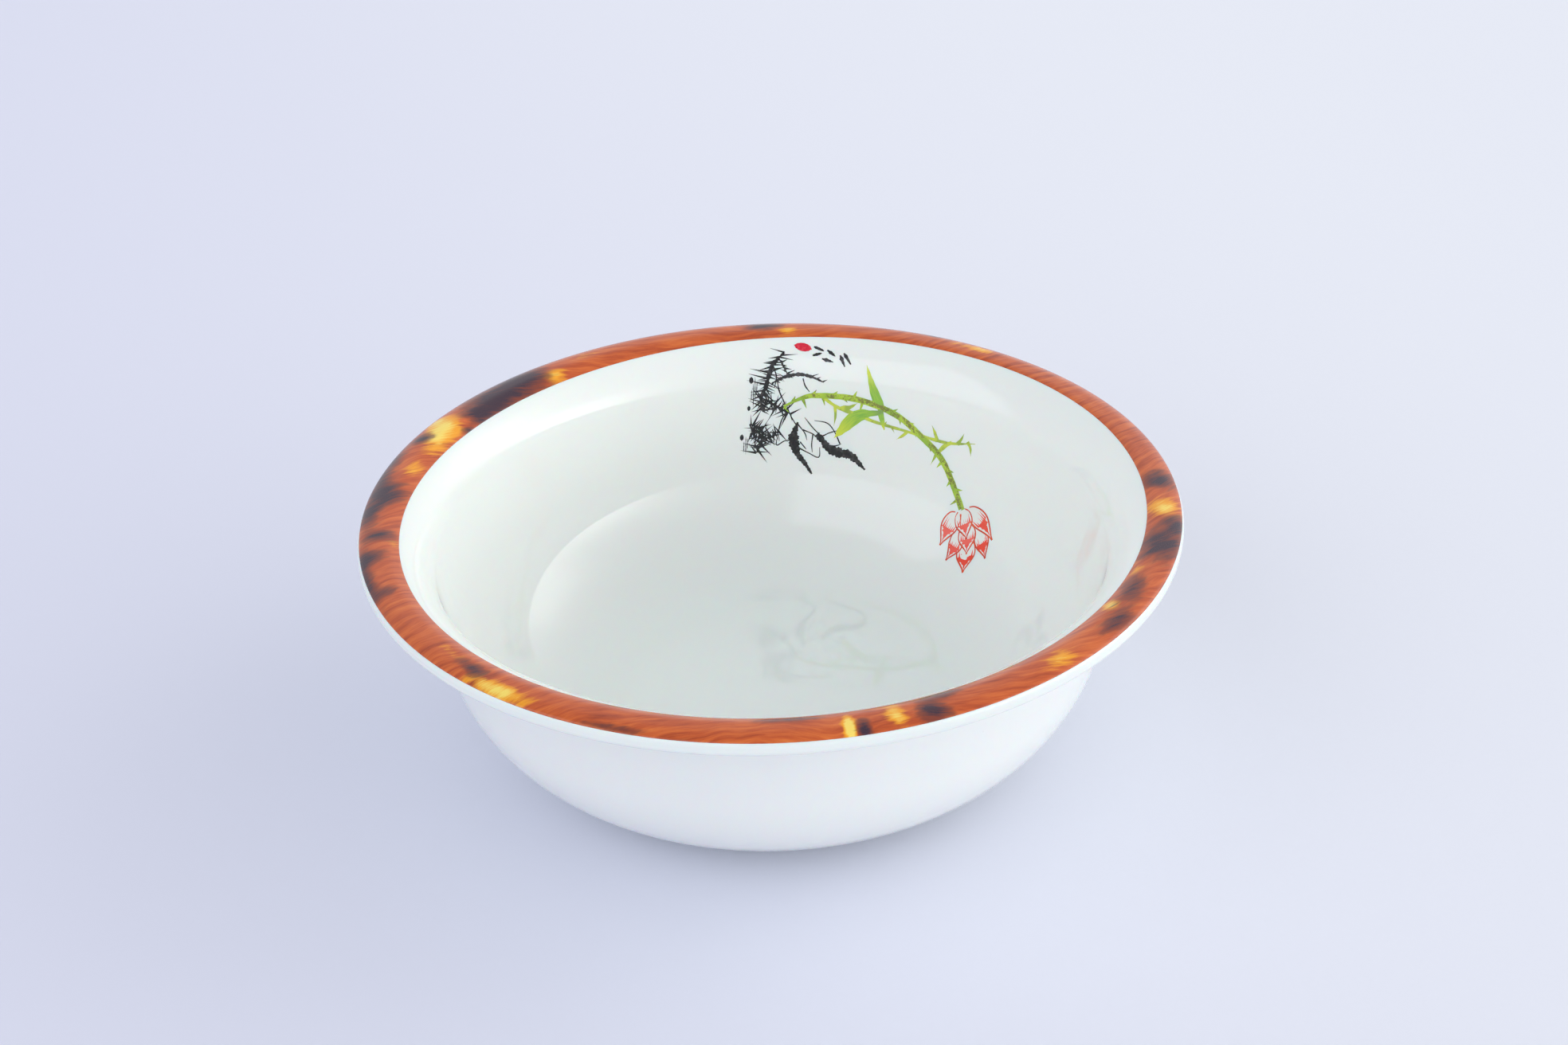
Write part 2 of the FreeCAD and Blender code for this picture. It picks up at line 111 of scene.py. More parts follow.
# %% The profile's corners
CREST_MIDDLE = (CREST_OUTER + CREST_INNER) / 2
WELL_CORNERS = [
    (CREST_MIDDLE, BOWL_HEIGHT, 0),
    (CREST_INNER, BOWL_HEIGHT, CREST_INNER_ROUNDING),
    (inner_wall(SHOULDER_HEIGHT), SHOULDER_HEIGHT, SHOULDER_ROUNDING),
    (inner_wall(FLOOR_HEIGHT), FLOOR_HEIGHT, BIG_ROUNDING - WALL),
    (0, FLOOR_HEIGHT, 0),
]
UNDER_CORNERS = [
    (CREST_MIDDLE, BOWL_HEIGHT, 0),
    (CREST_OUTER, BOWL_HEIGHT, CREST_OUTER_ROUNDING),
    (RIM_RADIUS, LIP_EDGE_TOP, LIP_TOP_ROUNDING),
    (RIM_RADIUS, LIP_EDGE_BOTTOM, LIP_BOTTOM_ROUNDING),
    (WALL_TOP_RADIUS, UNDERLIP_HEIGHT, UNDERLIP_ROUNDING),
    (outer_wall(FOOT_HEIGHT), FOOT_HEIGHT, BIG_ROUNDING),
    (FOOT_RADIUS, FOOT_HEIGHT, FOOT_ROUNDING),
    (FOOT_RADIUS, 0, FOOT_ROUNDING),
    (FOOT_INNER, 0, FOOT_ROUNDING),
    (FOOT_INNER, HOLLOW_HEIGHT, FOOT_ROUNDING),
    (0, HOLLOW_HEIGHT, 0),
]
ARC_STEP = math.radians(3.0)
LONGEST_RUN = 3.0 * MM


def rounded(corners):
    """Points (radius, height) along a chain of corners, each rounded by its own arc."""
    points = [np.array(corners[0][:2])]
    for before, corner, after in zip(corners, corners[1:], corners[2:]):
        place = np.array(corner[:2])
        back = np.array(before[:2]) - place
        ahead = np.array(after[:2]) - place
        back = back / np.linalg.norm(back)
        ahead = ahead / np.linalg.norm(ahead)
        half = math.acos(np.clip(back @ ahead, -1, 1)) / 2
        inward = (back + ahead) / np.linalg.norm(back + ahead)
        centre = place + inward * corner[2] / math.sin(half)
        first = place + back * corner[2] / math.tan(half) - centre
        turn = math.pi - 2 * half
        side = math.copysign(1, back[1] * ahead[0] - back[0] * ahead[1])
        steps = max(4, math.ceil(turn / ARC_STEP))
        for number in range(steps + 1):
            angle = side * turn * number / steps
            cosine, sine = math.cos(angle), math.sin(angle)
            points.append(centre + np.array([first[0] * cosine - first[1] * sine,
                                             first[0] * sine + first[1] * cosine]))
    points.append(np.array(corners[-1][:2]))
    return split_runs(points)


def split_runs(points):
    """The same line with its long straight runs cut into shorter ones."""
    fine = [points[0]]
    for start, end in zip(points, points[1:]):
        pieces = max(1, math.ceil(np.linalg.norm(end - start) / LONGEST_RUN))
        for number in range(1, pieces + 1):
            fine.append(start + (end - start) * number / pieces)
    return np.array(fine)


WELL_LINE = rounded(WELL_CORNERS)
UNDER_LINE = rounded(UNDER_CORNERS)
print("profile points", len(WELL_LINE), len(UNDER_LINE))

# %% [markdown]
# ## Writing finishes as sums
#
# A node material is a small calculation. Written as node after node it is hard to read, so one little class
# wraps a socket and lets Python's own signs add the Math nodes. Colours are mixed, never multiplied by a
# Math node. Every other node comes from one method of the finish.

# %% The finish helper
class Flow:
    """A number that changes over the surface, wrapped so that it can stand in a sum."""

    def __init__(self, finish, socket):
        self.finish = finish
        self.socket = socket

    def sum(self, operation, first, second=0.0, third=0.0):
        """One Math node."""
        node = self.finish.node("ShaderNodeMath", {"operation": operation}, {0: first, 1: second, 2: third})
        return Flow(self.finish, node.outputs[0])

    def __add__(self, other): return self.sum("ADD", self, other)
    def __radd__(self, other): return self.sum("ADD", other, self)
    def __sub__(self, other): return self.sum("SUBTRACT", self, other)
    def __rsub__(self, other): return self.sum("SUBTRACT", other, self)
    def __mul__(self, other): return self.sum("MULTIPLY", self, other)
    def __rmul__(self, other): return self.sum("MULTIPLY", other, self)
    def __truediv__(self, other): return self.sum("DIVIDE", self, other)
    def __rtruediv__(self, other): return self.sum("DIVIDE", other, self)
    def __pow__(self, other): return self.sum("POWER", self, other)
    def smaller(self, other): return self.sum("MINIMUM", self, other)

    def fade(self, start, end):
        """0 before start, 1 after end, and a soft step between them."""
        settings = {"interpolation_type": "SMOOTHSTEP"}
        node = self.finish.node("ShaderNodeMapRange", settings, {"Value": self, "From Min": start, "From Max": end})
        return Flow(self.finish, node.outputs["Result"])


class Finish:
    """A material under construction, with its shader and what is read from the surface."""

    def __init__(self, name, **shader):
        self.material = bpy.data.materials.new(name)
        self.material.use_nodes = True
        self.tree = self.material.node_tree
        self.shader = self.tree.nodes["Principled BSDF"]
        for socket, value in shader.items():
            self.shader.inputs[socket.replace("_", " ")].default_value = value

    def node(self, kind, settings=None, sockets=None):
        """One node: its settings are set first, then the values or links of its sockets."""
        node = self.tree.nodes.new(kind)
        for name, value in (settings or {}).items():
            if name == "stops":
                self.set_stops(node.color_ramp, value)
            else:
                setattr(node, name, value)
        for name, value in (sockets or {}).items():
            self.feed(node.inputs[name], value)
        return node

    def set_stops(self, ramp, stops):
        """Place and colour the stops of a ramp."""
        while len(ramp.elements) < len(stops):
            ramp.elements.new(1.0)
        for element, (position, colour) in zip(ramp.elements, stops):
            element.position = position
            element.color = (*colour, 1.0)

    def feed(self, socket, value):
        """Give a socket a value or a link."""
        if isinstance(value, Flow):
            value = value.socket
        if isinstance(value, bpy.types.NodeSocket):
            self.tree.links.new(value, socket)
        else:
            socket.default_value = value

    def place(self, scale=(1.0, 1.0, 1.0)):
        """Object coordinates, in metres, stretched by a scale."""
        where = self.node("ShaderNodeTexCoord").outputs["Object"]
        mapping = self.node("ShaderNodeMapping", {}, {"Vector": where, "Scale": scale})
        return mapping.outputs["Vector"]

    def attribute(self, name):
        """The piece's own coordinates stored in its mesh, as a vector."""
        return self.node("ShaderNodeAttribute", {"attribute_name": name}).outputs["Vector"]

    def parts(self, vector):
        """The three numbers of a vector."""
        split = self.node("ShaderNodeSeparateXYZ", {}, {0: vector})
        return [Flow(self, output) for output in split.outputs]

    def join(self, first, second, third=0.0):
        """A vector from three numbers."""
        return self.node("ShaderNodeCombineXYZ", {}, {0: first, 1: second, 2: third}).outputs[0]

    def noise(self, vector, scale, detail=2.0, roughness=0.5):
        """Cloudy noise between 0 and 1."""
        sockets = {"Vector": vector, "Scale": scale, "Detail": detail, "Roughness": roughness}
        return Flow(self, self.node("ShaderNodeTexNoise", {}, sockets).outputs[0])

    def mix(self, share, first, second):
        """A colour between two colours."""
        settings = {"data_type": "RGBA"}
        node = self.node("ShaderNodeMix", settings, {0: share, 6: colour4(first), 7: colour4(second)})
        return node.outputs[2]

    def ramp(self, share, stops):
        """A colour read from a ramp."""
        return self.node("ShaderNodeValToRGB", {"stops": stops}, {"Fac": share}).outputs["Color"]

    def bump(self, height, strength, distance):
        """A Bump node into the shader's normal."""
        node = self.node("ShaderNodeBump", {}, {"Height": height, "Strength": strength, "Distance": distance})
        self.feed(self.shader.inputs["Normal"], node.outputs["Normal"])

    def set(self, name, value):
        """Feed one of the shader's own sockets."""
        self.feed(self.shader.inputs[name], value)


def colour4(value):
    """A three-number colour as four numbers; a link is left alone."""
    return (*value, 1.0) if isinstance(value, tuple) and len(value) == 3 else value


print("finish helper ready")

# %% [markdown]
# ## Opal glass
#
# Opal glass is white all through because tiny crystals scatter the light inside it. Its skin is fire polished:
# very smooth, with a faint ripple left by the press, and a cool green tint where light has travelled through it.
# A little scattering below the surface softens the shadows, and a weak, broad bump gives the ripple.

# %% The glass finish
def opal_glass():
    """White opal glass, fire polished."""
    finish = Finish("opal glass", Roughness=0.05, IOR=1.60, Subsurface_Weight=0.35, Subsurface_Scale=0.004)
    where = finish.place()
    cloud = finish.noise(where, 9.0, 2.0)
    tint = finish.mix(cloud, (0.815, 0.865, 0.840), (0.860, 0.895, 0.868))
    specks = finish.noise(where, 900.0, 1.0).fade(0.80, 0.84)
    finish.set("Base Color", finish.mix(specks * 0.10, tint, (0.42, 0.43, 0.42)))
    wiped = finish.noise(finish.place((1.0, 1.0, 2.5)), 60.0, 3.0, 0.6)
    finish.set("Roughness", 0.015 + wiped * 0.05)
    ripple = finish.noise(where, 42.0, 1.5) + finish.noise(where, 11.0, 1.0) * 3.0
    finish.bump(ripple, 0.25, 0.00004)
    return finish.material


GLASS = opal_glass()
print("made", GLASS.name)

# %% [markdown]
# ## The glass body
#
# The press spins nothing, but its mould is turned on a lathe, and so is this mesh. A Geometry Nodes tree sweeps
# the profile round a very small circle: that is a lathe in three nodes. The profile's radii are reduced by the
# little circle's own radius, so the finished bowl has exactly the design's size.

# %% A Geometry Nodes helper
class Recipe:
    """A Geometry Nodes tree under construction, with named inputs."""

    def __init__(self, name, **inputs):
        self.tree = bpy.data.node_groups.new(name, "GeometryNodeTree")
        self.tree.interface.new_socket("Geometry", in_out="INPUT", socket_type="NodeSocketGeometry")
        for label, kind in inputs.items():
            self.tree.interface.new_socket(label, in_out="INPUT", socket_type="NodeSocket" + kind)
        self.tree.interface.new_socket("Geometry", in_out="OUTPUT", socket_type="NodeSocketGeometry")
        self.start = self.tree.nodes.new("NodeGroupInput").outputs
        self.end = self.tree.nodes.new("NodeGroupOutput").inputs

    def node(self, kind, settings=None, sockets=None):
        """One node with its settings, then the values or links of its sockets."""
        node = self.tree.nodes.new(kind)
        for name, value in (settings or {}).items():
            setattr(node, name, value)
        for name, value in (sockets or {}).items():
            if isinstance(value, bpy.types.NodeSocket):
                self.tree.links.new(value, node.inputs[name])
            else:
                node.inputs[name].default_value = value
        return node

    def finish(self, geometry):
        """Real geometry with its material, to the output."""
        real = self.node("GeometryNodeRealizeInstances", {}, {0: geometry}).outputs[0]
        painted = self.node("GeometryNodeSetMaterial", {}, {"Geometry": real, "Material": self.start["Material"]})
        self.tree.links.new(painted.outputs[0], self.end[0])
        return self


def grown(recipe, name, points, edges, **values):
    """Plain mesh object that a recipe grows from a line of points."""
    seed = bpy.data.meshes.new(name + "_line")
    seed.from_pydata([tuple(point) for point in points], edges, [])
    holder = bpy.data.objects.new(name + "_line", seed)
    bpy.context.scene.collection.objects.link(holder)
    modifier = holder.modifiers.new(name, "NODES")
    modifier.node_group = recipe.tree
    for item in recipe.tree.interface.items_tree:
        if item.in_out == "INPUT" and item.name in values:
            modifier[item.identifier] = values[item.name]
    bpy.context.view_layer.update()
    seen = holder.evaluated_get(bpy.context.evaluated_depsgraph_get())
    mesh = bpy.data.meshes.new_from_object(seen)
    bpy.data.objects.remove(holder)
    mesh.name = name
    return mesh


def chain(count):
    """Edges that join points one after another."""
    return [(number, number + 1) for number in range(count - 1)]


print("recipe helper ready")

# %% [markdown]
# The same helpers serve every piece: a recipe's mesh is welded, faced outwards and put on the bowl's one body.

# %% The lathe
HUB = 0.1 * MM
STEPS_ROUND = 288
WELD = 0.002 * MM


def lathe_recipe():
    """Sweeps a profile round the axis, welds the middle and shades it smooth."""
    recipe = Recipe("lathe", Steps="Int", Hub="Float", Material="Material")
    line = recipe.node("GeometryNodeMeshToCurve", {}, {0: recipe.start["Geometry"]}).outputs[0]
    hub = recipe.node("GeometryNodeCurvePrimitiveCircle", {}, {"Resolution": recipe.start["Steps"],
                                                               "Radius": recipe.start["Hub"]}).outputs[0]
    swept = recipe.node("GeometryNodeCurveToMesh", {}, {"Curve": hub, "Profile Curve": line}).outputs[0]
    welded = recipe.node("GeometryNodeMergeByDistance", {}, {"Geometry": swept, "Distance": WELD}).outputs[0]
    smooth = recipe.node("GeometryNodeSetShadeSmooth", {}, {"Geometry": welded}).outputs[0]
    return recipe.finish(smooth)


def outward(mesh):
    """Turn every face of a closed mesh outwards."""
    work = bmesh.new()
    work.from_mesh(mesh)
    bmesh.ops.remove_doubles(work, verts=work.verts, dist=WELD)
    bmesh.ops.recalc_face_normals(work, faces=work.faces)
    work.to_mesh(mesh)
    work.free()
    return mesh


def placed(name, mesh, slot, *nodes):
    """Object for a finished mesh: it rides on the one body and stands for its CAD nodes."""
    piece = bpy.data.objects.new(name, mesh)
    bpy.context.scene.collection.objects.link(piece)
    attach(piece, "root")
    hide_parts(*nodes)
    print(name, len(mesh.vertices), "points", len(mesh.polygons), "faces")
    return piece


profile = np.vstack([WELL_LINE[::-1], UNDER_LINE[1:]])
lathe_points = [(radius - HUB, -height, 0.0) for radius, height in profile]
glass_mesh = grown(lathe_recipe(), "bowl_glass", lathe_points, chain(len(lathe_points)),
                   Steps=STEPS_ROUND, Hub=HUB, Material=GLASS)
co = np.array([vertex.co for vertex in glass_mesh.vertices])
print("lathe box", co.min(0), co.max(0))
placed("bowl_glass", outward(glass_mesh), "opal_glass", "bowl_body")

# %% [markdown]
# ## The tortoiseshell band
#
# A band transfer is printed as a long strip, slid over the lip while wet and joined in a butt seam. Hands laid
# it, so its inner trim is a little oval and sits slightly off the axis, and the strip is wider in some places.
# The mesh walks round the lip: at each step it takes the stretch of the profile between the two trims, lifts
# it off the glass by the film's thickness and closes it underneath. Every point keeps its place on the strip,
# round and across, and how dark and how amber the shell is there. The finish reads them.

# %% Band: sizes and shell markings
FILM = 0.10 * MM
SUNK = 0.02 * MM
BAND_OUTER = RIM_RADIUS - 0.5 * MM
BAND_WIDTH = 9.1 * MM
BAND_MEAN_INNER = BAND_OUTER - BAND_WIDTH
BAND_STRETCH = 0.95 * MM
BAND_SHIFT = 0.86 * MM
BAND_TURN = math.radians(45)
SEAM = math.radians(-81)
BAND_STEPS = 900
BAND_ROWS = 15
# Direction in degrees, place across from the outer trim (0) to the inner (1), length round, width across, depth.
DARK_PATCHES = [(140, 0.62, 9.5, 5.5, 1.25), (133, 0.35, 8.0, 5.0, 1.1), (146, 0.80, 4.0, 3.0, 0.9),
                (157, 0.28, 3.4, 1.8, 1.0), (163, 0.05, 7.0, 1.8, 0.9), (150, 0.97, 2.4, 1.2, 0.7),
                (174, 0.35, 6.5, 4.4, 1.2), (169, 0.10, 5.0, 2.6, 0.9), (180, 0.15, 5.5, 2.6, 1.0),
                (-174, 0.50, 3.0, 3.8, 0.9), (-168, 0.25, 3.6, 3.4, 0.9), (-162, 0.02, 10.0, 1.9, 1.2),
                (-158, 0.40, 2.8, 2.4, 0.6), (-134, 0.45, 4.4, 1.8, 0.9), (-112, 0.10, 9.0, 0.9, 0.5),
                (-88, 0.75, 7.0, 1.5, 0.8), (-79.4, 0.10, 1.6, 2.4, 1.5), (-70.5, 0.30, 3.6, 3.8, 1.1),
                (-67, 0.80, 5.0, 1.8, 0.8), (-38, 0.30, 5.6, 3.0, 0.9), (-30, 0.60, 6.0, 2.6, 0.9),
                (-17, 0.50, 7.0, 5.5, 1.25), (-11, 0.20, 5.0, 3.4, 0.9), (1, 0.50, 4.2, 4.6, 1.1),
                (90, 0.35, 5.4, 2.6, 1.1), (62, 0.15, 6.0, 1.2, 0.6)]
AMBER_PATCHES = [(152, 0.40, 6.0, 4.2, 1.3), (157, 0.65, 5.5, 3.2, 1.0), (166, 0.70, 5.0, 2.6, 0.6),
                 (128, 0.75, 4.4, 2.6, 1.0), (121, 0.45, 4.0, 1.6, 0.6), (-172, 0.85, 3.0, 2.0, 0.4),
                 (-128, 0.20, 9.0, 2.6, 1.2), (-140, 0.55, 6.0, 1.6, 0.5), (-81.2, 0.22, 1.5, 4.4, 1.7),
                 (-75, 0.40, 3.2, 4.0, 1.1), (-50, 0.35, 5.4, 2.4, 0.8), (-35, 0.75, 3.4, 2.2, 1.0),
                 (-7, 0.50, 5.0, 4.6, 1.1), (-24, 0.85, 4.0, 1.6, 0.6), (53, 0.40, 7.0, 2.2, 1.0),
                 (86, 0.70, 3.4, 1.8, 0.9)]
print("shell markings", len(DARK_PATCHES), "dark", len(AMBER_PATCHES), "amber")

# %% Band: mesh
LIP_LINE = np.vstack([rounded(UNDER_CORNERS)[::-1], WELL_LINE[1:]])


def lengths_along(line):
    """Distance of each point of a line from its start."""
    return np.concatenate([[0], np.cumsum(np.linalg.norm(np.diff(line, axis=0), axis=1))])


def read_line(line, lengths, distance):
    """Radius, height and outward normal of a profile line at distances along it."""
    reach = 0.05 * MM
    here = np.stack([np.interp(distance, lengths, line[:, column]) for column in (0, 1)], -1)
    before = np.stack([np.interp(distance - reach, lengths, line[:, column]) for column in (0, 1)], -1)
    after = np.stack([np.interp(distance + reach, lengths, line[:, column]) for column in (0, 1)], -1)
    ahead = after - before
    ahead = ahead / np.linalg.norm(ahead, axis=-1, keepdims=True)
    normal = np.stack([ahead[..., 1], -ahead[..., 0]], -1)
    return here[..., 0], here[..., 1], normal


def inner_trim(angle):
    """Radius of the band's inner edge: an oval, off the axis."""
    longest = BAND_MEAN_INNER + BAND_STRETCH
    shortest = BAND_MEAN_INNER - BAND_STRETCH
    turned = angle - BAND_TURN
    oval = longest * shortest / np.hypot(shortest * np.cos(turned), longest * np.sin(turned))
    return oval + BAND_SHIFT * np.cos(angle)


def patch_depth(patches, angle, across):
    """How strongly a set of soft patches marks each point."""
    total = np.zeros_like(across)
    for degrees, middle, length, width, depth in patches:
        round_way = (angle - math.radians(degrees) + math.pi) % (2 * math.pi) - math.pi
        far = (round_way * RIM_RADIUS / (length * MM)) ** 2
        side = ((across - middle) * BAND_WIDTH / (width * MM)) ** 2
        total = total + depth * np.exp(-(far + side) * 1.1)
    return total


def band_mesh():
    """A closed film over the lip, with its own coordinates and markings stored at every point."""
    lengths = lengths_along(LIP_LINE)
    top = int(np.argmax(LIP_LINE[:, 1] > BOWL_HEIGHT - 0.0001 * MM))
    outer_side = slice(int(np.argmax(LIP_LINE[:, 0] > RIM_RADIUS - 0.001 * MM)), top + 1)
    start = np.interp(-BAND_OUTER, -LIP_LINE[outer_side, 0][1:], lengths[outer_side][1:])
    angle = SEAM + 2 * math.pi * (np.arange(BAND_STEPS + 1) / BAND_STEPS)
    end = np.interp(-inner_trim(angle), -LIP_LINE[top:, 0], lengths[top:])
    share = np.concatenate([[0, 0.012], np.linspace(0.03, 0.97, BAND_ROWS), [0.988, 1], np.linspace(0.95, 0.05, 6)])
    under = np.arange(len(share)) >= BAND_ROWS + 4
    lift = np.where(under, -SUNK, FILM)
    lift[[0, BAND_ROWS + 3]] = -SUNK / 2
    lift[[1, BAND_ROWS + 2]] = FILM * 0.7
    distance = start + (end[:, None] - start) * share[None, :]
    radius, height, normal = read_line(LIP_LINE, lengths, distance)
    radius = radius + normal[..., 0] * lift
    height = height + normal[..., 1] * lift
    turn = angle[:, None]
    points = np.stack([radius * np.cos(turn), radius * np.sin(turn), height], -1)
    rows = len(share)
    faces = []
    for step in range(BAND_STEPS):
        for row in range(rows):
            after = (row + 1) % rows
            faces.append((step * rows + row, step * rows + after, (step + 1) * rows + after, (step + 1) * rows + row))
    mesh = bpy.data.meshes.new("rim_band_enamel")
    mesh.from_pydata(points.reshape(-1, 3).tolist(), [], faces)
    across = np.broadcast_to(share[None, :], distance.shape)
    full_turn = np.broadcast_to(turn, distance.shape)
    strip = np.stack([(full_turn - SEAM) * RIM_RADIUS, distance - start, across], -1)
    marks = np.stack([patch_depth(DARK_PATCHES, full_turn, across), patch_depth(AMBER_PATCHES, full_turn, across),
                      across], -1)
    store(mesh, "strip", strip)
    store(mesh, "marks", marks)
    mesh.shade_smooth()
    return mesh


def store(mesh, name, values):
    """Keep a vector at every point of a mesh."""
    layer = mesh.attributes.new(name, "FLOAT_VECTOR", "POINT")
    layer.data.foreach_set("vector", np.ascontiguousarray(values, dtype=np.float32).ravel())


# %% [markdown]
# The shell's colours lie in layers: an orange-red ground with fine grain that runs aslant, amber where light
# comes through, and purple-brown to black patches with feathered edges. Warping the stored markings by noise
# along the grain feathers them, and a fine dot screen shows in the dark parts, as it does on a printed transfer.

# %% Band: finish
def band_enamel():
    """Tortoiseshell printed in glossy enamel."""
    finish = Finish("band enamel", Roughness=0.06, IOR=1.5)
    around, across = finish.parts(finish.attribute("strip"))[:2]
    dark, amber = finish.parts(finish.attribute("marks"))[:2]
    left, back = finish.parts(finish.place())[:2]
    bent = back - left * 0.05 - left * left * left * 26.0
    drift = finish.noise(finish.join(left, back), 38.0, 2.0) - 0.5
    bent = bent + drift * 0.012
    fibres = finish.noise(finish.join(left * 0.09, bent, 0.3), 1900.0, 3.0, 0.7)
    streaks = finish.noise(finish.join(left * 0.13, bent, 1.7), 520.0, 4.0, 0.62)
    cloud = finish.noise(finish.join(left * 0.45, bent, 4.1), 190.0, 4.0, 0.62)
    ground = finish.ramp(streaks, [(0.30, (0.34, 0.048, 0.010)), (0.45, (0.52, 0.085, 0.016)),
                                   (0.58, (0.64, 0.130, 0.024)), (0.75, (0.74, 0.19, 0.035))])
    ground = finish.mix(fibres.fade(0.54, 0.80) * 0.22, ground, (0.82, 0.28, 0.07))
    ground = finish.mix(fibres.fade(0.46, 0.24) * 0.30, ground, (0.22, 0.030, 0.008))
    glow = (amber + (cloud - 0.5) * 1.7 + (streaks - 0.5) * 1.5).fade(0.25, 0.85) * amber.fade(0.02, 0.22)
    ground = finish.mix(glow, ground, (0.90, 0.36, 0.012))
    core = (amber + (cloud - 0.5) * 1.6 + (fibres - 0.5) * 1.2).fade(0.70, 1.30)
    ground = finish.mix(core, ground, (0.96, 0.72, 0.14))
    edge = dark + (cloud - 0.5) * 1.6 + (streaks - 0.5) * 1.2
    brown = edge.fade(0.05, 0.50) * dark.fade(0.01, 0.16)
    ground = finish.mix(brown * 0.75, ground, (0.17, 0.036, 0.022))
    shade = (edge + (fibres - 0.5) * 1.1).fade(0.32, 1.15) * dark.fade(0.03, 0.30)
    dots = finish.noise(finish.join(around, across, 9.0), 5200.0, 0.0)
    ink = finish.mix(dots.fade(0.45, 0.60) * 0.45, (0.024, 0.013, 0.034), (0.075, 0.040, 0.050))
    finish.set("Base Color", finish.mix(shade * 0.95, ground, ink))
    dust = finish.noise(finish.join(around, across, 12.0), 1500.0, 1.0)
    finish.set("Roughness", 0.045 + dust.fade(0.70, 0.80) * 0.20)
    flow = finish.noise(finish.join(around, across, 6.0), 160.0, 2.0)
    finish.bump(flow + dust.fade(0.72, 0.82) * 0.6, 0.20, 0.00005)
    return finish.material


BAND = band_enamel()
mesh = band_mesh()
mesh.materials.append(BAND)
placed("rim_band_enamel", outward(mesh), "band_enamel", "rim_band")

# %% [markdown]
# ## Laying prints on the wall
#
# The motif is drawn on a flat sheet, in millimetres round the wall and down the glass, exactly as a transfer
# is printed. Each shape is made flat and closed, a few hundredths of a millimetre thick, and then every point
# of it is carried to the wall. Shapes that overlap on the sheet lie at slightly different levels in the film.

# %% From sheet to wall
WELL_LENGTHS = lengths_along(WELL_LINE)
PRINT_LEVEL = 19.45 * MM
PRINT_RADIUS = float(np.interp(PRINT_LEVEL, WELL_LENGTHS, WELL_LINE[:, 0]))


def lay_on_wall(points):
    """Carry flat points (across, up, lift), in metres on the sheet, to the inner wall."""
    radius, height, normal = read_line(WELL_LINE, WELL_LENGTHS, -points[:, 1])
    turn = points[:, 0] / PRINT_RADIUS
    radius = radius + normal[:, 0] * points[:, 2]
    height = height + normal[:, 1] * points[:, 2]
    return np.stack([radius * np.sin(turn), radius * np.cos(turn), height], -1)


class Sheet:
    """Flat closed shapes of one enamel, gathered before they are laid on the wall."""

    def __init__(self):
        self.points = []
        self.faces = []
        self.notes = []

    def add(self, points, faces, notes):
        """Add a shape: its points in metres, faces, and a note (along, across, number) at each point."""
        start = len(self.points)
        self.points.extend(tuple(point) for point in points)
        self.faces.extend(tuple(start + corner for corner in face) for face in faces)
        self.notes.extend(notes)

    def ribbon(self, spine, widths, level, number=0.0, steps=None, wobble=0.0):
        """A brush stroke: a strip along a smooth line, a little domed."""
        line, ahead = smooth_line(spine, steps)
        count = len(line)
        share = np.linspace(0, 1, count)
        half = smooth_values(widths, share) * MM / 2
        if wobble:
            half = half * (1 + wobble * np.sin(share * count * 0.9 + number) * np.sin(share * count * 0.37))
        normal = np.stack([-ahead[:, 1], ahead[:, 0]], -1)
        columns = np.linspace(-1, 1, 5)
        crown = np.array([0.55, 0.9, 1.0, 0.9, 0.55])
        upper = [np.column_stack([line + normal * (half * side)[:, None], np.full(count, level * MM * rise)])
                 for side, rise in zip(columns, crown)]
        lower = [np.column_stack([line + normal * (half * side)[:, None], np.full(count, -SUNK)])
                 for side in (columns[-1], columns[0])]
        rings = np.stack(upper + lower, 1)
        ring = rings.shape[1]
        faces = []
        for step in range(count - 1):
            for corner in range(ring):
                after = (corner + 1) % ring
                faces.append((step * ring + corner, (step + 1) * ring + corner,
                              (step + 1) * ring + after, step * ring + after))
        faces.append(tuple(range(ring)))
        faces.append(tuple(reversed(range((count - 1) * ring, count * ring))))
        across = list(columns) + [columns[-1], columns[0]]
        notes = [(along, side, number) for along in share for side in across]
        self.add(rings.reshape(-1, 3), faces, notes)

    def grow(self, mesh):
        """Add a mesh that was grown flat."""
        points = np.array([vertex.co for vertex in mesh.vertices])
        faces = [tuple(face.vertices) for face in mesh.polygons]
        self.add(points, faces, [(0.5, 0.9, 0.0)] * len(points))

    def lay(self, name, material, slot, node):
        """Make the piece on the wall."""
        mesh = bpy.data.meshes.new(name)
        mesh.from_pydata(lay_on_wall(np.array(self.points)).tolist(), [], self.faces)
        store(mesh, "stroke", np.array(self.notes))
        mesh.materials.append(material)
        return placed(name, outward(mesh), slot, node)


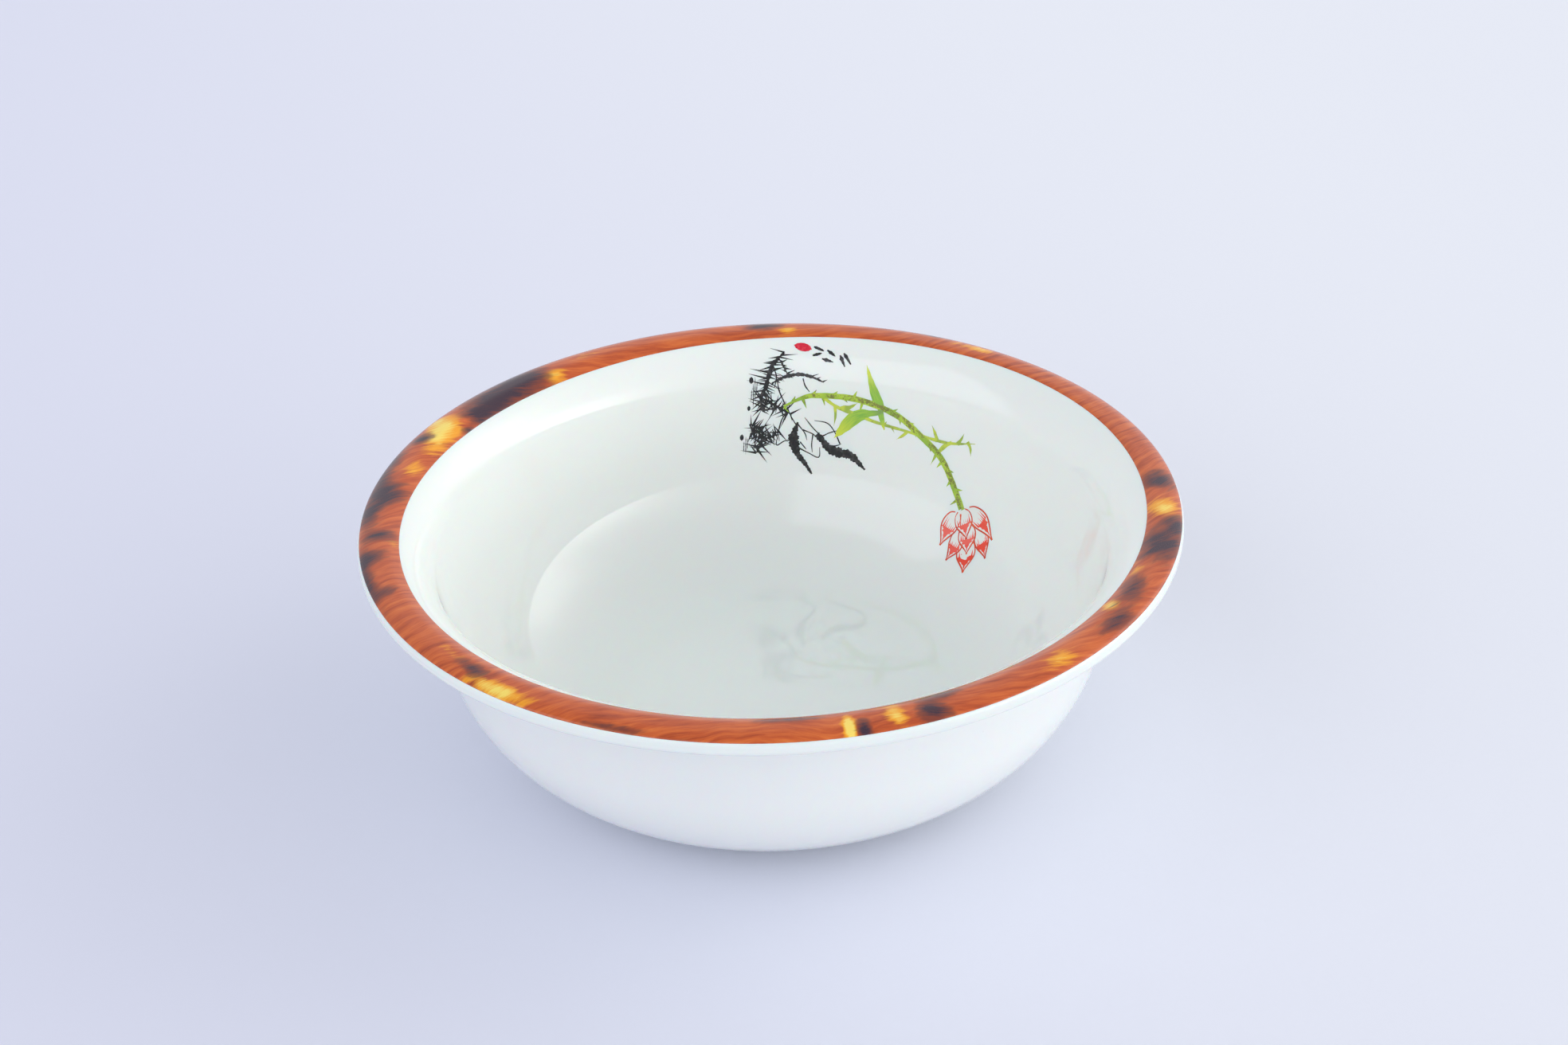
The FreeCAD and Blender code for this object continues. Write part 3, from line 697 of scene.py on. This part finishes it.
def smooth_line(spine, steps=None):
    """Points and directions along a smooth curve through sheet points given in millimetres."""
    knots = np.array([(across * MM, -down * MM) for across, down in spine])
    if len(knots) == 2:
        knots = np.stack([knots[0], knots.mean(0), knots[1]])
    ends = [2 * knots[0] - knots[1]], [2 * knots[-1] - knots[-2]]
    padded = np.vstack([ends[0], knots, ends[1]])
    pieces = []
    for first, second, third, fourth in zip(padded, padded[1:], padded[2:], padded[3:]):
        share = np.linspace(0, 1, 12, endpoint=False)[:, None]
        pieces.append(0.5 * (2 * second + (third - first) * share
                             + (2 * first - 5 * second + 4 * third - fourth) * share ** 2
                             + (3 * second - first - 3 * third + fourth) * share ** 3))
    curve = np.vstack(pieces + [knots[-1:]])
    lengths = lengths_along(curve)
    steps = steps or max(5, round(lengths[-1] / (0.7 * MM)))
    even = np.linspace(0, lengths[-1], steps)
    line = np.stack([np.interp(even, lengths, curve[:, column]) for column in (0, 1)], -1)
    ahead = np.gradient(line, axis=0)
    return line, ahead / np.linalg.norm(ahead, axis=1, keepdims=True)


def smooth_values(values, share):
    """A list of widths read smoothly at shares of its length."""
    place = share * (len(values) - 1)
    low = np.minimum(place.astype(int), len(values) - 2)
    step = place - low
    step = step * step * (3 - 2 * step)
    values = np.array(values)
    return values[low] * (1 - step) + values[low + 1] * step


print("print radius", round(PRINT_RADIUS, 5))

# %% [markdown]
# ## Thorns and needles
#
# Thorns on the stem and needles on the ink foliage are the same idea at two sizes: a spike stands on a line,
# every so often, on one side and then the other, each a little different. One Geometry Nodes tree grows both.
# It resamples the line at the wanted spacing, puts a four-sided spike at each point, turns it away from the
# line and varies its length with a fixed seed.

# %% Spikes along a line
LEAST_LEAN = 0.62
SHORTEST, LONGEST = 0.6, 1.25


def spike_recipe():
    """Grows flat spikes on alternate sides of a line."""
    recipe = Recipe("spikes", Spacing="Float", Length="Float", Width="Float", Thickness="Float", Spread="Float",
                    Seed="Int", Material="Material")
    start = recipe.start
    line = recipe.node("GeometryNodeMeshToCurve", {}, {0: start["Geometry"]}).outputs[0]
    even = recipe.node("GeometryNodeResampleCurve", {"mode": "LENGTH"}, {"Curve": line, "Length": start["Spacing"]})
    cone = recipe.node("GeometryNodeMeshCone", {"fill_type": "NGON"},
                       {"Vertices": 4, "Radius Top": 0.0, "Radius Bottom": 0.5, "Depth": 1.0}).outputs[0]
    spike = recipe.node("GeometryNodeTransform", {}, {"Geometry": cone, "Rotation": (0.0, math.pi / 2, 0.0)})
    ahead = recipe.node("ShaderNodeSeparateXYZ", {}, {0: recipe.node("GeometryNodeInputTangent").outputs[0]})
    heading = recipe.node("ShaderNodeMath", {"operation": "ARCTAN2"}, {0: ahead.outputs[1], 1: ahead.outputs[0]})
    index = recipe.node("GeometryNodeInputIndex").outputs[0]
    odd = recipe.node("ShaderNodeMath", {"operation": "MODULO"}, {0: index, 1: 2.0}).outputs[0]
    side = recipe.node("ShaderNodeMath", {"operation": "MULTIPLY_ADD"}, {0: odd, 1: 2.0, 2: -1.0}).outputs[0]
    lean = recipe.node("FunctionNodeRandomValue", {}, {2: LEAST_LEAN, 3: start["Spread"], "Seed": start["Seed"]})
    away = recipe.node("ShaderNodeMath", {"operation": "MULTIPLY_ADD"},
                       {0: side, 1: lean.outputs[1], 2: heading.outputs[0]}).outputs[0]
    turn = recipe.node("ShaderNodeCombineXYZ", {}, {2: away}).outputs[0]
    varied = recipe.node("FunctionNodeRandomValue", {}, {2: SHORTEST, 3: LONGEST, "Seed": start["Seed"]}).outputs[1]
    length = recipe.node("ShaderNodeMath", {"operation": "MULTIPLY"}, {0: start["Length"], 1: varied}).outputs[0]
    size = recipe.node("ShaderNodeCombineXYZ", {}, {0: length, 1: start["Width"], 2: start["Thickness"]})
    grown_on = recipe.node("GeometryNodeInstanceOnPoints", {},
                           {"Points": even.outputs[0], "Instance": spike.outputs[0], "Rotation": turn,
                            "Scale": size.outputs[0]})
    return recipe.finish(grown_on.outputs[0])


SPIKES = spike_recipe()


def spikes(spine, name, material, **sizes):
    """Flat spikes grown along a line of the sheet, as a mesh. Sizes are in millimetres."""
    line = smooth_line(spine)[0]
    flat = [(point[0], point[1], 0.0) for point in line]
    seed = sizes.pop("Seed")
    spread = sizes.pop("Spread")
    lengths = {label: value * MM for label, value in sizes.items()}
    return grown(SPIKES, name, flat, chain(len(flat)), Seed=seed, Spread=spread, Material=material, **lengths)


print("spike recipe ready")

# %% [markdown]
# ## Enamels of the motif
#
# Ceramic inks are ground glass and pigment. They fire to a skin nearly as glossy as the glass. The greens are
# mottled, as if sponged; the petals' tips are coral, some nearly scarlet; the black is a little uneven.

# %% Motif finishes
def enamel(name, roughness=0.10):
    """An enamel before its colour is set."""
    finish = Finish(name, Roughness=roughness, IOR=1.5)
    grain = finish.noise(finish.place(), 1500.0, 1.0)
    finish.set("Roughness", roughness + grain * 0.06)
    finish.bump(grain, 0.10, 0.00002)
    return finish


def stem_enamel():
    """Lime green with brown-olive mottling, thicker towards the bud."""
    finish = enamel("stem enamel")
    along, across = finish.parts(finish.attribute("stroke"))[:2]
    blotch = finish.noise(finish.place(), 520.0, 3.0, 0.6)
    fine = finish.noise(finish.place(), 2600.0, 2.0, 0.7)
    light = finish.mix(finish.noise(finish.place(), 160.0, 1.0).fade(0.40, 0.62), (0.30, 0.49, 0.045),
                       (0.46, 0.62, 0.055))
    rim = (across * across).fade(0.30, 1.0)
    mottle = (blotch + (fine - 0.5) * 0.8 - rim * 0.16 + across * 0.05 + along * 0.06).fade(0.47, 0.60)
    mottle = mottle * along.fade(0.02, 0.14)
    finish.set("Base Color", finish.mix(mottle * 0.85, light, (0.175, 0.150, 0.045)))
    return finish.material


def leaf_enamel():
    """Leaf green at the base, yellow at the tip, with faint ribs."""
    finish = enamel("leaf enamel")
    along, across, number = finish.parts(finish.attribute("stroke"))
    ribs = finish.noise(finish.join(along * 0.5, across, number), 9.0, 2.0)
    green = finish.mix(ribs.fade(0.35, 0.65), (0.22, 0.46, 0.065), (0.36, 0.58, 0.060))
    yellow = (along + (ribs - 0.5) * 0.3).fade(0.35, 1.0)
    colour = finish.mix(yellow, green, (0.66, 0.72, 0.060))
    base = along.fade(0.20, 0.0)
    finish.set("Base Color", finish.mix(base * 0.7, colour, (0.20, 0.30, 0.12)))
    return finish.material


def twig_enamel():
    """Yellow green with darker joints."""
    finish = enamel("twig enamel")
    cloud = finish.noise(finish.place(), 330.0, 2.0)
    green = finish.mix(cloud.fade(0.38, 0.62), (0.34, 0.47, 0.070), (0.58, 0.66, 0.075))
    joint = finish.noise(finish.place(), 900.0, 2.0).fade(0.58, 0.72)
    finish.set("Base Color", finish.mix(joint * 0.6, green, (0.22, 0.27, 0.060)))
    return finish.material


def petal_white():
    """Thin warm white, nearly the glass itself, with faint veins."""
    finish = enamel("petal white", 0.08)
    along, across, number = finish.parts(finish.attribute("stroke"))
    veins = finish.noise(finish.join(along * 0.8, across * 2.0, number), 4.0, 2.0)
    finish.set("Base Color", finish.mix(veins * 0.5, (0.80, 0.815, 0.78), (0.84, 0.79, 0.75)))
    return finish.material


def petal_coral():
    """Coral, nearer scarlet on the petals that carry a scarlet share."""
    finish = enamel("petal coral", 0.10)
    number = finish.parts(finish.attribute("stroke"))[2]
    tone = finish.noise(finish.place(), 300.0, 3.0)
    coral = finish.mix(tone.fade(0.35, 0.65), (0.86, 0.060, 0.034), (0.88, 0.105, 0.070))
    finish.set("Base Color", finish.mix(number * 0.8, coral, (0.86, 0.038, 0.008)))
    return finish.material


def two_tones(name, scale, detail, start, thick, thin):
    """One ink in two tones: where a cloudy noise passes start, it fades from thick to thin."""
    finish = enamel(name, 0.12)
    cloud = finish.noise(finish.place(), scale, detail)
    finish.set("Base Color", finish.mix(cloud.fade(start, start + 0.30), thick, thin))
    return finish.material


def petal_line():
    """Rust-red drawn line."""
    return two_tones("petal line", 420.0, 2.0, 0.35, (0.60, 0.035, 0.010), (0.74, 0.080, 0.020))


def ink_black():
    """Black ink, greyer where it is thin."""
    return two_tones("ink black", 700.0, 3.0, 0.45, (0.014, 0.014, 0.016), (0.060, 0.058, 0.060))


def seal_crimson():
    """Crimson stamp ink, slightly uneven."""
    return two_tones("seal crimson", 800.0, 3.0, 0.40, (0.66, 0.012, 0.040), (0.78, 0.060, 0.090))


print("motif finishes ready")

# %% [markdown]
# ## The stem, leaves and twig
#
# The stem rises from the ink foliage, arches along the back wall and hangs down to the bud. Its line has one
# point for each change of bend. The leaves share a joint with it. The
# twig leaves it near the foliage and crosses it once.

# %% Stem, leaves, twig
STEM = [(5.1, 24.9), (11.1, 22.2), (15.6, 21.6), (26.1, 21.9), (37.6, 24.7), (45.6, 29.2), (53.0, 34.1),
        (58.8, 41.5), (62.6, 46.2)]
STEM_WIDTHS = [0.6, 1.6, 1.8, 1.8, 1.9, 1.95, 2.0]
TWIG = [(16.7, 22.4), (20.7, 24.8), (27.0, 26.5), (32.3, 27.9), (43.1, 29.0), (54.2, 29.2), (63.7, 26.8)]
TWIG_WIDTHS = [0.9, 1.1, 0.9, 0.8, 0.9, 0.8, 0.2]
TWIG_SPIKES = [([(19.7, 24.0), (19.9, 27.2), (19.5, 30.2)], [1.0, 0.7, 0.05]),
               ([(20.6, 25.0), (23.6, 24.6), (26.2, 23.0)], [0.8, 1.7, 0.9, 0.05]),
               ([(41.6, 28.8), (40.4, 30.2), (38.4, 31.8)], [1.0, 0.8, 0.05]),
               ([(34.4, 28.2), (35.2, 27.0)], [0.8, 0.05]), ([(36.6, 28.4), (37.6, 30.0)], [0.7, 0.05]),
               ([(51.3, 29.7), (50.2, 27.4), (49.0, 25.4)], [1.3, 0.9, 0.05]),
               ([(57.8, 28.6), (58.8, 27.0), (59.6, 25.0)], [1.2, 0.7, 0.05]),
               ([(61.0, 27.0), (62.2, 28.4), (62.7, 30.7)], [1.2, 0.8, 0.05]),
               ([(55.9, 28.7), (54.0, 30.0), (51.7, 32.8)], [1.0, 1.3, 1.0]),
               ([(51.4, 33.1), (49.8, 36.9)], [1.0, 0.05])]
LEAVES = [([(33.6, 24.4), (31.4, 20.2), (28.0, 11.9)], [1.9, 2.9, 2.7, 1.8, 1.0, 0.1]),
          ([(33.1, 24.8), (26.0, 27.0), (19.6, 33.8)], [1.3, 1.7, 3.2, 3.8, 3.4, 2.2, 0.1]),
          ([(33.0, 24.7), (34.5, 29.7)], [1.9, 1.6, 1.2, 0.3])]

stem = Sheet()
STEM_GREEN = stem_enamel()
stem.ribbon(STEM, STEM_WIDTHS, 0.085, steps=120, wobble=0.05)
thorn_sizes = {"Spacing": 2.9, "Length": 3.2, "Width": 1.25, "Thickness": 0.07, "Spread": 1.7, "Seed": 4}
stem.grow(spikes(STEM, "thorns", STEM_GREEN, **thorn_sizes))
stem.lay("stem_enamel", STEM_GREEN, "stem_enamel", "stem_print")

leaf = Sheet()
for number, (spine, widths) in enumerate(LEAVES):
    leaf.ribbon(spine, widths, 0.07 - 0.008 * number, float(number), steps=36)
leaf.lay("leaf_enamel", leaf_enamel(), "leaf_enamel", "leaf_print")

twig = Sheet()
twig.ribbon(TWIG, TWIG_WIDTHS, 0.045, steps=80, wobble=0.12)
for spine, widths in TWIG_SPIKES:
    twig.ribbon(spine, widths, 0.050, steps=12)
twig.lay("twig_enamel", twig_enamel(), "twig_enamel", "twig_print")

# %% [markdown]
# ## The hanging bud
#
# Each petal is a brush shape round its middle line: broad at the belly, drawn in to a flicked point. It is laid
# in three levels, as the printer screens them: the pale fill, the coral tip with its ragged upper edge, and the
# drawn line round it. Petals in front lie a hundredth of a millimetre over those behind.

# %% Bud
PETAL_LINE = 0.44
# Middle line from base to tip, width, scarlet share.
PETALS = [([(62.8, 46.6), (64.9, 49.4), (67.9, 53.4)], 5.9, 0.0),
          ([(62.0, 48.2), (60.3, 51.7), (59.6, 57.8)], 5.6, 0.0),
          ([(65.0, 46.0), (70.6, 47.1), (77.0, 50.4)], 5.0, 0.35),
          ([(66.2, 49.8), (67.9, 53.0), (70.3, 57.2)], 6.0, 0.0),
          ([(63.4, 53.0), (64.9, 55.8), (64.2, 61.1)], 5.0, 0.0),
          ([(70.6, 49.6), (73.0, 51.6), (77.6, 55.8)], 4.8, 1.0),
          ([(68.2, 53.8), (70.2, 57.5), (72.6, 62.2)], 6.4, 0.8)]
PETAL_SHAPE = [0.46, 0.84, 1.0, 1.02, 0.94, 0.74, 0.42, 0.12, 0.02]
TIP_START = 0.47
RAGGED_TEETH = 7
STATIONS = 41


def part_of(spine, start):
    """The last stretch of a smooth line, as sheet points in millimetres."""
    line = smooth_line(spine, STATIONS)[0]
    rest = line[round(start * (STATIONS - 1)):]
    return [(point[0] / MM, -point[1] / MM) for point in rest[::max(1, len(rest) // 5)]] + [
        (line[-1][0] / MM, -line[-1][1] / MM)]


def petal_edges(sheet, spine, widths, level):
    """The drawn line along both edges of a petal."""
    line, ahead = smooth_line(spine, STATIONS)
    share = np.linspace(0, 1, STATIONS)
    half = smooth_values(widths, share) * MM / 2
    normal = np.stack([-ahead[:, 1], ahead[:, 0]], -1)
    for side in (-1, 1):
        edge = line + normal * (half * side)[:, None]
        points = [(point[0] / MM, -point[1] / MM) for point in edge[::4]]
        sheet.ribbon(points, [PETAL_LINE * 0.8, PETAL_LINE, PETAL_LINE * 1.2, PETAL_LINE], level, steps=34)


def ragged_tip(sheet, spine, widths, level, number):
    """The coloured tip of a petal, its upper edge drawn out in teeth."""
    share = np.linspace(0, 1, STATIONS)
    values = smooth_values(widths, share)
    kept = round(TIP_START * (STATIONS - 1))
    sheet.ribbon(part_of(spine, TIP_START), list(values[kept::5]) + [0.05], level, number, steps=22)
    line, ahead = smooth_line(spine, STATIONS)
    normal = np.stack([-ahead[:, 1], ahead[:, 0]], -1)
    for tooth in range(RAGGED_TEETH):
        across = (tooth + 0.5) / RAGGED_TEETH * 2 - 1
        reach = 5 + 4 * abs(across) + 2.2 * math.sin(tooth * 2.3 + number * 5 + kept)
        top = max(0, kept - round(reach))
        root = line[kept + 1] + normal[kept + 1] * values[kept + 1] * MM / 2 * across * 0.86
        tip = line[top] + normal[top] * values[top] * MM / 2 * across * 0.90
        points = [(place[0] / MM, -place[1] / MM) for place in (root, (root + tip) / 2, tip)]
        sheet.ribbon(points, [values[kept] / RAGGED_TEETH * 1.15, values[kept] / RAGGED_TEETH * 0.6, 0.03], level,
                     number, steps=5)


fills, tips, lines = Sheet(), Sheet(), Sheet()
for order, (spine, width, scarlet) in enumerate(reversed(PETALS)):
    widths = [width * share for share in PETAL_SHAPE]
    ground = 0.020 + 0.011 * order
    fills.ribbon(spine, widths, ground, float(order), steps=36)
    ragged_tip(tips, spine, [value * 0.97 for value in widths], ground + 0.005, scarlet)
    petal_edges(lines, spine, widths, ground + 0.009)
lines.ribbon([(62.9, 47.6), (63.6, 49.4), (64.3, 51.2)], [1.0, 0.5, 0.1], 0.100, steps=12)
fills.lay("petal_fill", petal_white(), "white_enamel", "petal_fill_print")
tips.lay("petal_tips", petal_coral(), "coral_enamel", "petal_tip_print")
lines.lay("petal_outlines", petal_line(), "red_line_enamel", "petal_outline_print")

# %% [markdown]
# ## The ink painting
#
# Ink foliage is painted with a stiff split brush: a dark line with many short needles. The strokes are laid
# first and the needles are grown along them. Two slim insects hang below, drawn with a full brush for the body
# and its tip for the legs. Dry upright scratches and three round dots stand beside the foliage.

# %% Ink
BRUSHES = [([(5.4, 9.5), (3.4, 11.6), (1.9, 13.6), (0.1, 19.4), (-1.3, 22.1), (-1.2, 26.0)], 1.2, 3.0),
           ([(1.9, 18.2), (5.3, 16.5), (9.3, 15.7), (12.6, 16.2), (16.2, 17.6)], 1.0, 2.3),
           ([(4.3, 11.6), (6.2, 15.5)], 0.5, 1.6),
           ([(0.0, 22.9), (3.3, 25.2), (6.9, 27.2)], 0.8, 2.8),
           ([(-4.8, 29.8), (-2.2, 31.2), (-1.2, 33.4), (-1.8, 35.8), (-3.4, 38.4)], 0.8, 3.0),
           ([(-4.6, 32.4), (-2.6, 33.8), (-0.6, 34.1), (1.4, 33.8), (3.2, 32.1)], 0.5, 2.2)]
INK_LINES = [[(5.6, 27.0), (4.3, 29.1), (3.1, 33.1)], [(5.8, 25.0), (4.0, 20.8), (3.4, 17.4)],
             [(10.6, 16.8), (11.2, 18.9), (12.4, 20.6)], [(2.4, 13.2), (3.2, 16.4), (2.6, 19.4)]]
SCRATCHES = [(-2.7, 16.2, 23.4), (-3.3, 18.0, 25.0), (-2.2, 17.6, 21.4), (-3.8, 19.8, 23.2), (-6.2, 33.4, 38.6),
             (-6.8, 34.8, 38.1), (-5.7, 34.0, 37.4)]
INSECTS = [([(9.0, 29.6), (7.8, 33.4), (7.9, 36.1), (8.8, 39.0), (10.9, 41.6), (13.1, 44.7)],
            [0.4, 1.2, 2.4, 2.3, 1.4, 1.2, 0.8, 0.5],
            [[(8.2, 35.0), (5.2, 35.1), (2.7, 36.4), (2.9, 34.1)],
             [(9.0, 37.1), (12.0, 38.6), (15.1, 39.8), (15.4, 36.8)],
             [(9.0, 30.2), (11.0, 32.8), (11.6, 34.8)], [(8.9, 31.0), (7.2, 28.2), (6.8, 27.0)],
             [(9.6, 35.4), (11.4, 37.6)], [(10.4, 31.8), (13.4, 33.0), (14.6, 34.1)]]),
           ([(14.5, 33.0), (16.4, 35.0), (18.2, 37.1), (21.6, 38.1), (24.8, 38.6), (29.3, 42.2)],
            [1.5, 1.4, 1.8, 2.4, 2.0, 1.8, 1.1, 0.4],
            [[(16.2, 33.8), (13.6, 31.4), (11.0, 28.2)], [(21.4, 35.4), (19.8, 32.1), (17.6, 29.6), (13.8, 29.0)],
             [(17.6, 36.0), (20.0, 36.1), (21.8, 35.4)], [(16.0, 33.6), (18.2, 32.4), (20.4, 31.6)],
             [(13.4, 33.1), (13.0, 36.0), (13.2, 38.4)]])]
INK_DOTS = [(-3.8, 17.1, 2.0), (-4.9, 25.2, 1.5), (-7.4, 33.6, 1.9)]

INK = ink_black()
foliage = Sheet()
for number, (spine, thickness, needle) in enumerate(BRUSHES):
    foliage.ribbon(spine, [thickness * 0.5, thickness, thickness * 0.9, thickness * 0.4], 0.040, wobble=0.35,
                   number=number * 1.7, steps=60)
    needle_sizes = {"Spacing": 0.36, "Length": needle * 1.25, "Width": 0.56, "Thickness": 0.045, "Spread": 2.5,
                    "Seed": 11 + number}
    foliage.grow(spikes(spine, "needles", INK, **needle_sizes))
    crossing_sizes = {"Spacing": 0.85, "Length": needle * 1.7, "Width": 0.70, "Thickness": 0.050, "Spread": 1.7,
                      "Seed": 31 + number}
    foliage.grow(spikes(spine, "long needles", INK, **crossing_sizes))
for spine in INK_LINES:
    foliage.ribbon(spine, [0.3, 0.4, 0.25], 0.032, steps=18, wobble=0.2)
for across, top, bottom in SCRATCHES:
    foliage.ribbon([(across, top), (across - 0.35, bottom)], [0.05, 0.28, 0.2, 0.05], 0.030, steps=16, wobble=0.5)
foliage.lay("ink_foliage", INK, "ink_enamel", "ink_foliage_print")

insects = Sheet()
for number, (body, widths, legs) in enumerate(INSECTS):
    insects.ribbon(body, [width * 1.25 for width in widths], 0.055, steps=90, wobble=0.24, number=number * 2.2)
    for leg in legs:
        insects.ribbon(leg, [0.45, 0.30, 0.34, 0.16], 0.040, steps=20)
insects.lay("ink_insects", INK, "ink_enamel", "ink_insect_print")

dots = Sheet()
for across, down, length in INK_DOTS:
    dots.ribbon([(across + 0.1, down - length / 2), (across - 0.1, down + length / 2)],
                [0.1, length * 0.52, length * 0.60, length * 0.52, 0.1], 0.040, steps=16)
dots.lay("ink_dots", INK, "ink_enamel", "ink_dot_print")

# %% [markdown]
# ## Seal and brush marks
#
# A painter's stamp and signature would stand at the top. Here they are only a plain crimson oval and a few
# plain brush strokes, with nothing to read.

# %% Seal and brush marks
SEAL_MIDDLE = (10.3, 7.8)
SEAL_LENGTH = 4.9
SEAL_WIDTHS = [0.15, 1.7, 2.35, 2.55, 2.35, 1.7, 0.15]
SEAL_TURN = math.radians(15)
BRUSH_MARKS = [((13.2, 7.6), (15.9, 8.8)), ((13.0, 10.3), (15.4, 9.5)), ((16.8, 8.5), (19.1, 10.2)),
               ((15.6, 11.1), (18.7, 11.9)), ((20.4, 9.8), (22.0, 13.0)), ((21.3, 9.1), (23.6, 12.2))]

seal = Sheet()
run = (math.cos(SEAL_TURN) * SEAL_LENGTH / 2, math.sin(SEAL_TURN) * SEAL_LENGTH / 2)
seal.ribbon([(SEAL_MIDDLE[0] - run[0], SEAL_MIDDLE[1] - run[1]), (SEAL_MIDDLE[0] + run[0], SEAL_MIDDLE[1] + run[1])],
            SEAL_WIDTHS, 0.055, steps=28)
seal.lay("seal", seal_crimson(), "seal_enamel", "seal_print")

marks = Sheet()
for number, mark in enumerate(BRUSH_MARKS):
    marks.ribbon(list(mark), [0.4, 0.95, 0.70, 0.3], 0.045, steps=14, wobble=0.25, number=float(number))
marks.lay("brush_marks", INK, "ink_enamel", "brush_mark_print")

# %% [markdown]
# ## Camera
#
# The camera looks down at the bowl at about 30 degrees with a slightly long lens, aimed a little off the
# middle of the rim and rolled two degrees, as a hand-set tripod is.

# %% Camera
CAMERA_TARGET = Vector((0.0, 0.0, 64.6 * MM))
CAMERA_DISTANCE = 592.4 * MM
CAMERA_ELEVATION = math.radians(30.23)
CAMERA_PAN = 0.00565
CAMERA_TILT = -0.00791
CAMERA_ROLL = math.radians(-2.03)
CAMERA_LENS = 54.88


def camera():
    """The camera, aimed near the middle of the rim and rolled a little."""
    data = bpy.data.cameras.new("camera")
    data.lens = CAMERA_LENS
    data.sensor_width = 36.0
    data.clip_start = 0.01
    item = bpy.data.objects.new("camera", data)
    bpy.context.scene.collection.objects.link(item)
    stand = CAMERA_DISTANCE * Vector((0, -math.cos(CAMERA_ELEVATION), math.sin(CAMERA_ELEVATION)))
    ahead = -stand.normalized()
    right = ahead.cross(Vector((0, 0, 1))).normalized()
    up = right.cross(ahead)
    ahead = (ahead + CAMERA_PAN * right + CAMERA_TILT * up).normalized()
    right = ahead.cross(Vector((0, 0, 1))).normalized()
    up = right.cross(ahead)
    rolled = math.cos(CAMERA_ROLL) * right + math.sin(CAMERA_ROLL) * up
    turn = Matrix((rolled, rolled.cross(ahead), -ahead)).transposed()
    item.matrix_world = Matrix.Translation(CAMERA_TARGET + stand) @ turn.to_4x4()
    bpy.context.scene.camera = item
    return item


camera()

# %% [markdown]
# ## Floor and light
#
# The bowl stands on pale paper in a bright room. The paper's colour carries painted light: whiter on the right and
# behind, with painted bluish shade on the left and in front. There are no lamps: all the light comes from the room,
# which is written as a formula of direction. It is nearly even, a little brighter low down, on the right and behind,
# so the shadow is faint and slightly blue. Three windows of light are added to it. The one behind on the right
# puts the glint on the shoulder of the lip, a lower one stands on the right, and a broad dim one is on the left.

# %% Floor and light
# Azimuth, height, half width and half height in degrees, squareness, strength.
WINDOWS = {"behind": (19, 25, 17, 14, 2.0, 1.5), "right": (-22, 10, 22, 12, 1.5, 2.8),
           "left": (220, 34, 40, 23, 12.0, 1.05)}
FLOOR_SIZE = 16.0


def floor():
    """Pale paper with painted light: whiter towards the right and behind, with painted bluish shade towards the left
    and front.
    """
    finish = Finish("pale paper", Roughness=0.85, Specular_IOR_Level=0.1)
    across, along = finish.parts(finish.place())[:2]
    fibre = finish.noise(finish.place(), 700.0, 3.0)
    # Painted light: the paper's colour is whiter towards the right and behind, and darker and bluer towards the left
    # and front, as painted shade.
    paper_with_painted_light = finish.mix((across + along * 0.3).fade(-0.35, 0.36), (0.735, 0.745, 0.885), (0.85, 0.865, 0.935))
    finish.set("Base Color", finish.mix(fibre * 0.10, paper_with_painted_light, (0.70, 0.72, 0.80)))
    bpy.ops.mesh.primitive_plane_add(size=FLOOR_SIZE)
    item = bpy.context.object
    item.name = "floor"
    item.data.materials.append(finish.material)


class Room(Finish):
    """The light of the room, written like a finish and read by direction."""

    def __init__(self, name):
        self.world = bpy.data.worlds.new(name)
        self.world.use_nodes = True
        self.tree = self.world.node_tree
        self.shader = self.tree.nodes["Background"]
        self.sideways, self.forward, up = self.parts(self.node("ShaderNodeTexCoord").outputs["Generated"])
        self.height = self.sum("ARCSINE", up)

    def sum(self, operation, first, second=0.0):
        """One Math node of the room."""
        return Flow(self, None).sum(operation, first, second)

    def window(self, azimuth, height, wide, tall, squareness, strength):
        """A window of light. Angles are in degrees, sizes are half the window's."""
        cosine, sine = math.cos(math.radians(azimuth)), math.sin(math.radians(azimuth))
        ahead = self.sideways * cosine + self.forward * sine
        off = self.sum("ARCTAN2", self.forward * cosine - self.sideways * sine, ahead) / math.radians(wide)
        above = (self.height - math.radians(height)) / math.radians(tall)
        beyond = (off * off) ** squareness + (above * above) ** squareness
        return strength / (beyond + 1.0)


def room():
    """Nearly even light with a window behind on the right, one low on the right and a broad one on the left."""
    light = Room("room")
    even = 0.84 - light.height.fade(0.05, 1.3) * 0.28
    even = even + light.sideways * 0.10 + light.forward * 0.15
    behind, right, left = [light.window(*WINDOWS[name]) for name in ("behind", "right", "left")]
    light.set("Strength", even + behind + right + left)
    light.set("Color", light.mix((behind + right).smaller(1.0), (0.93, 0.955, 1.0), (1.0, 0.995, 0.97)))
    bpy.context.scene.world = light.world


floor()
room()
bpy.context.scene.view_settings.view_transform = "Standard"
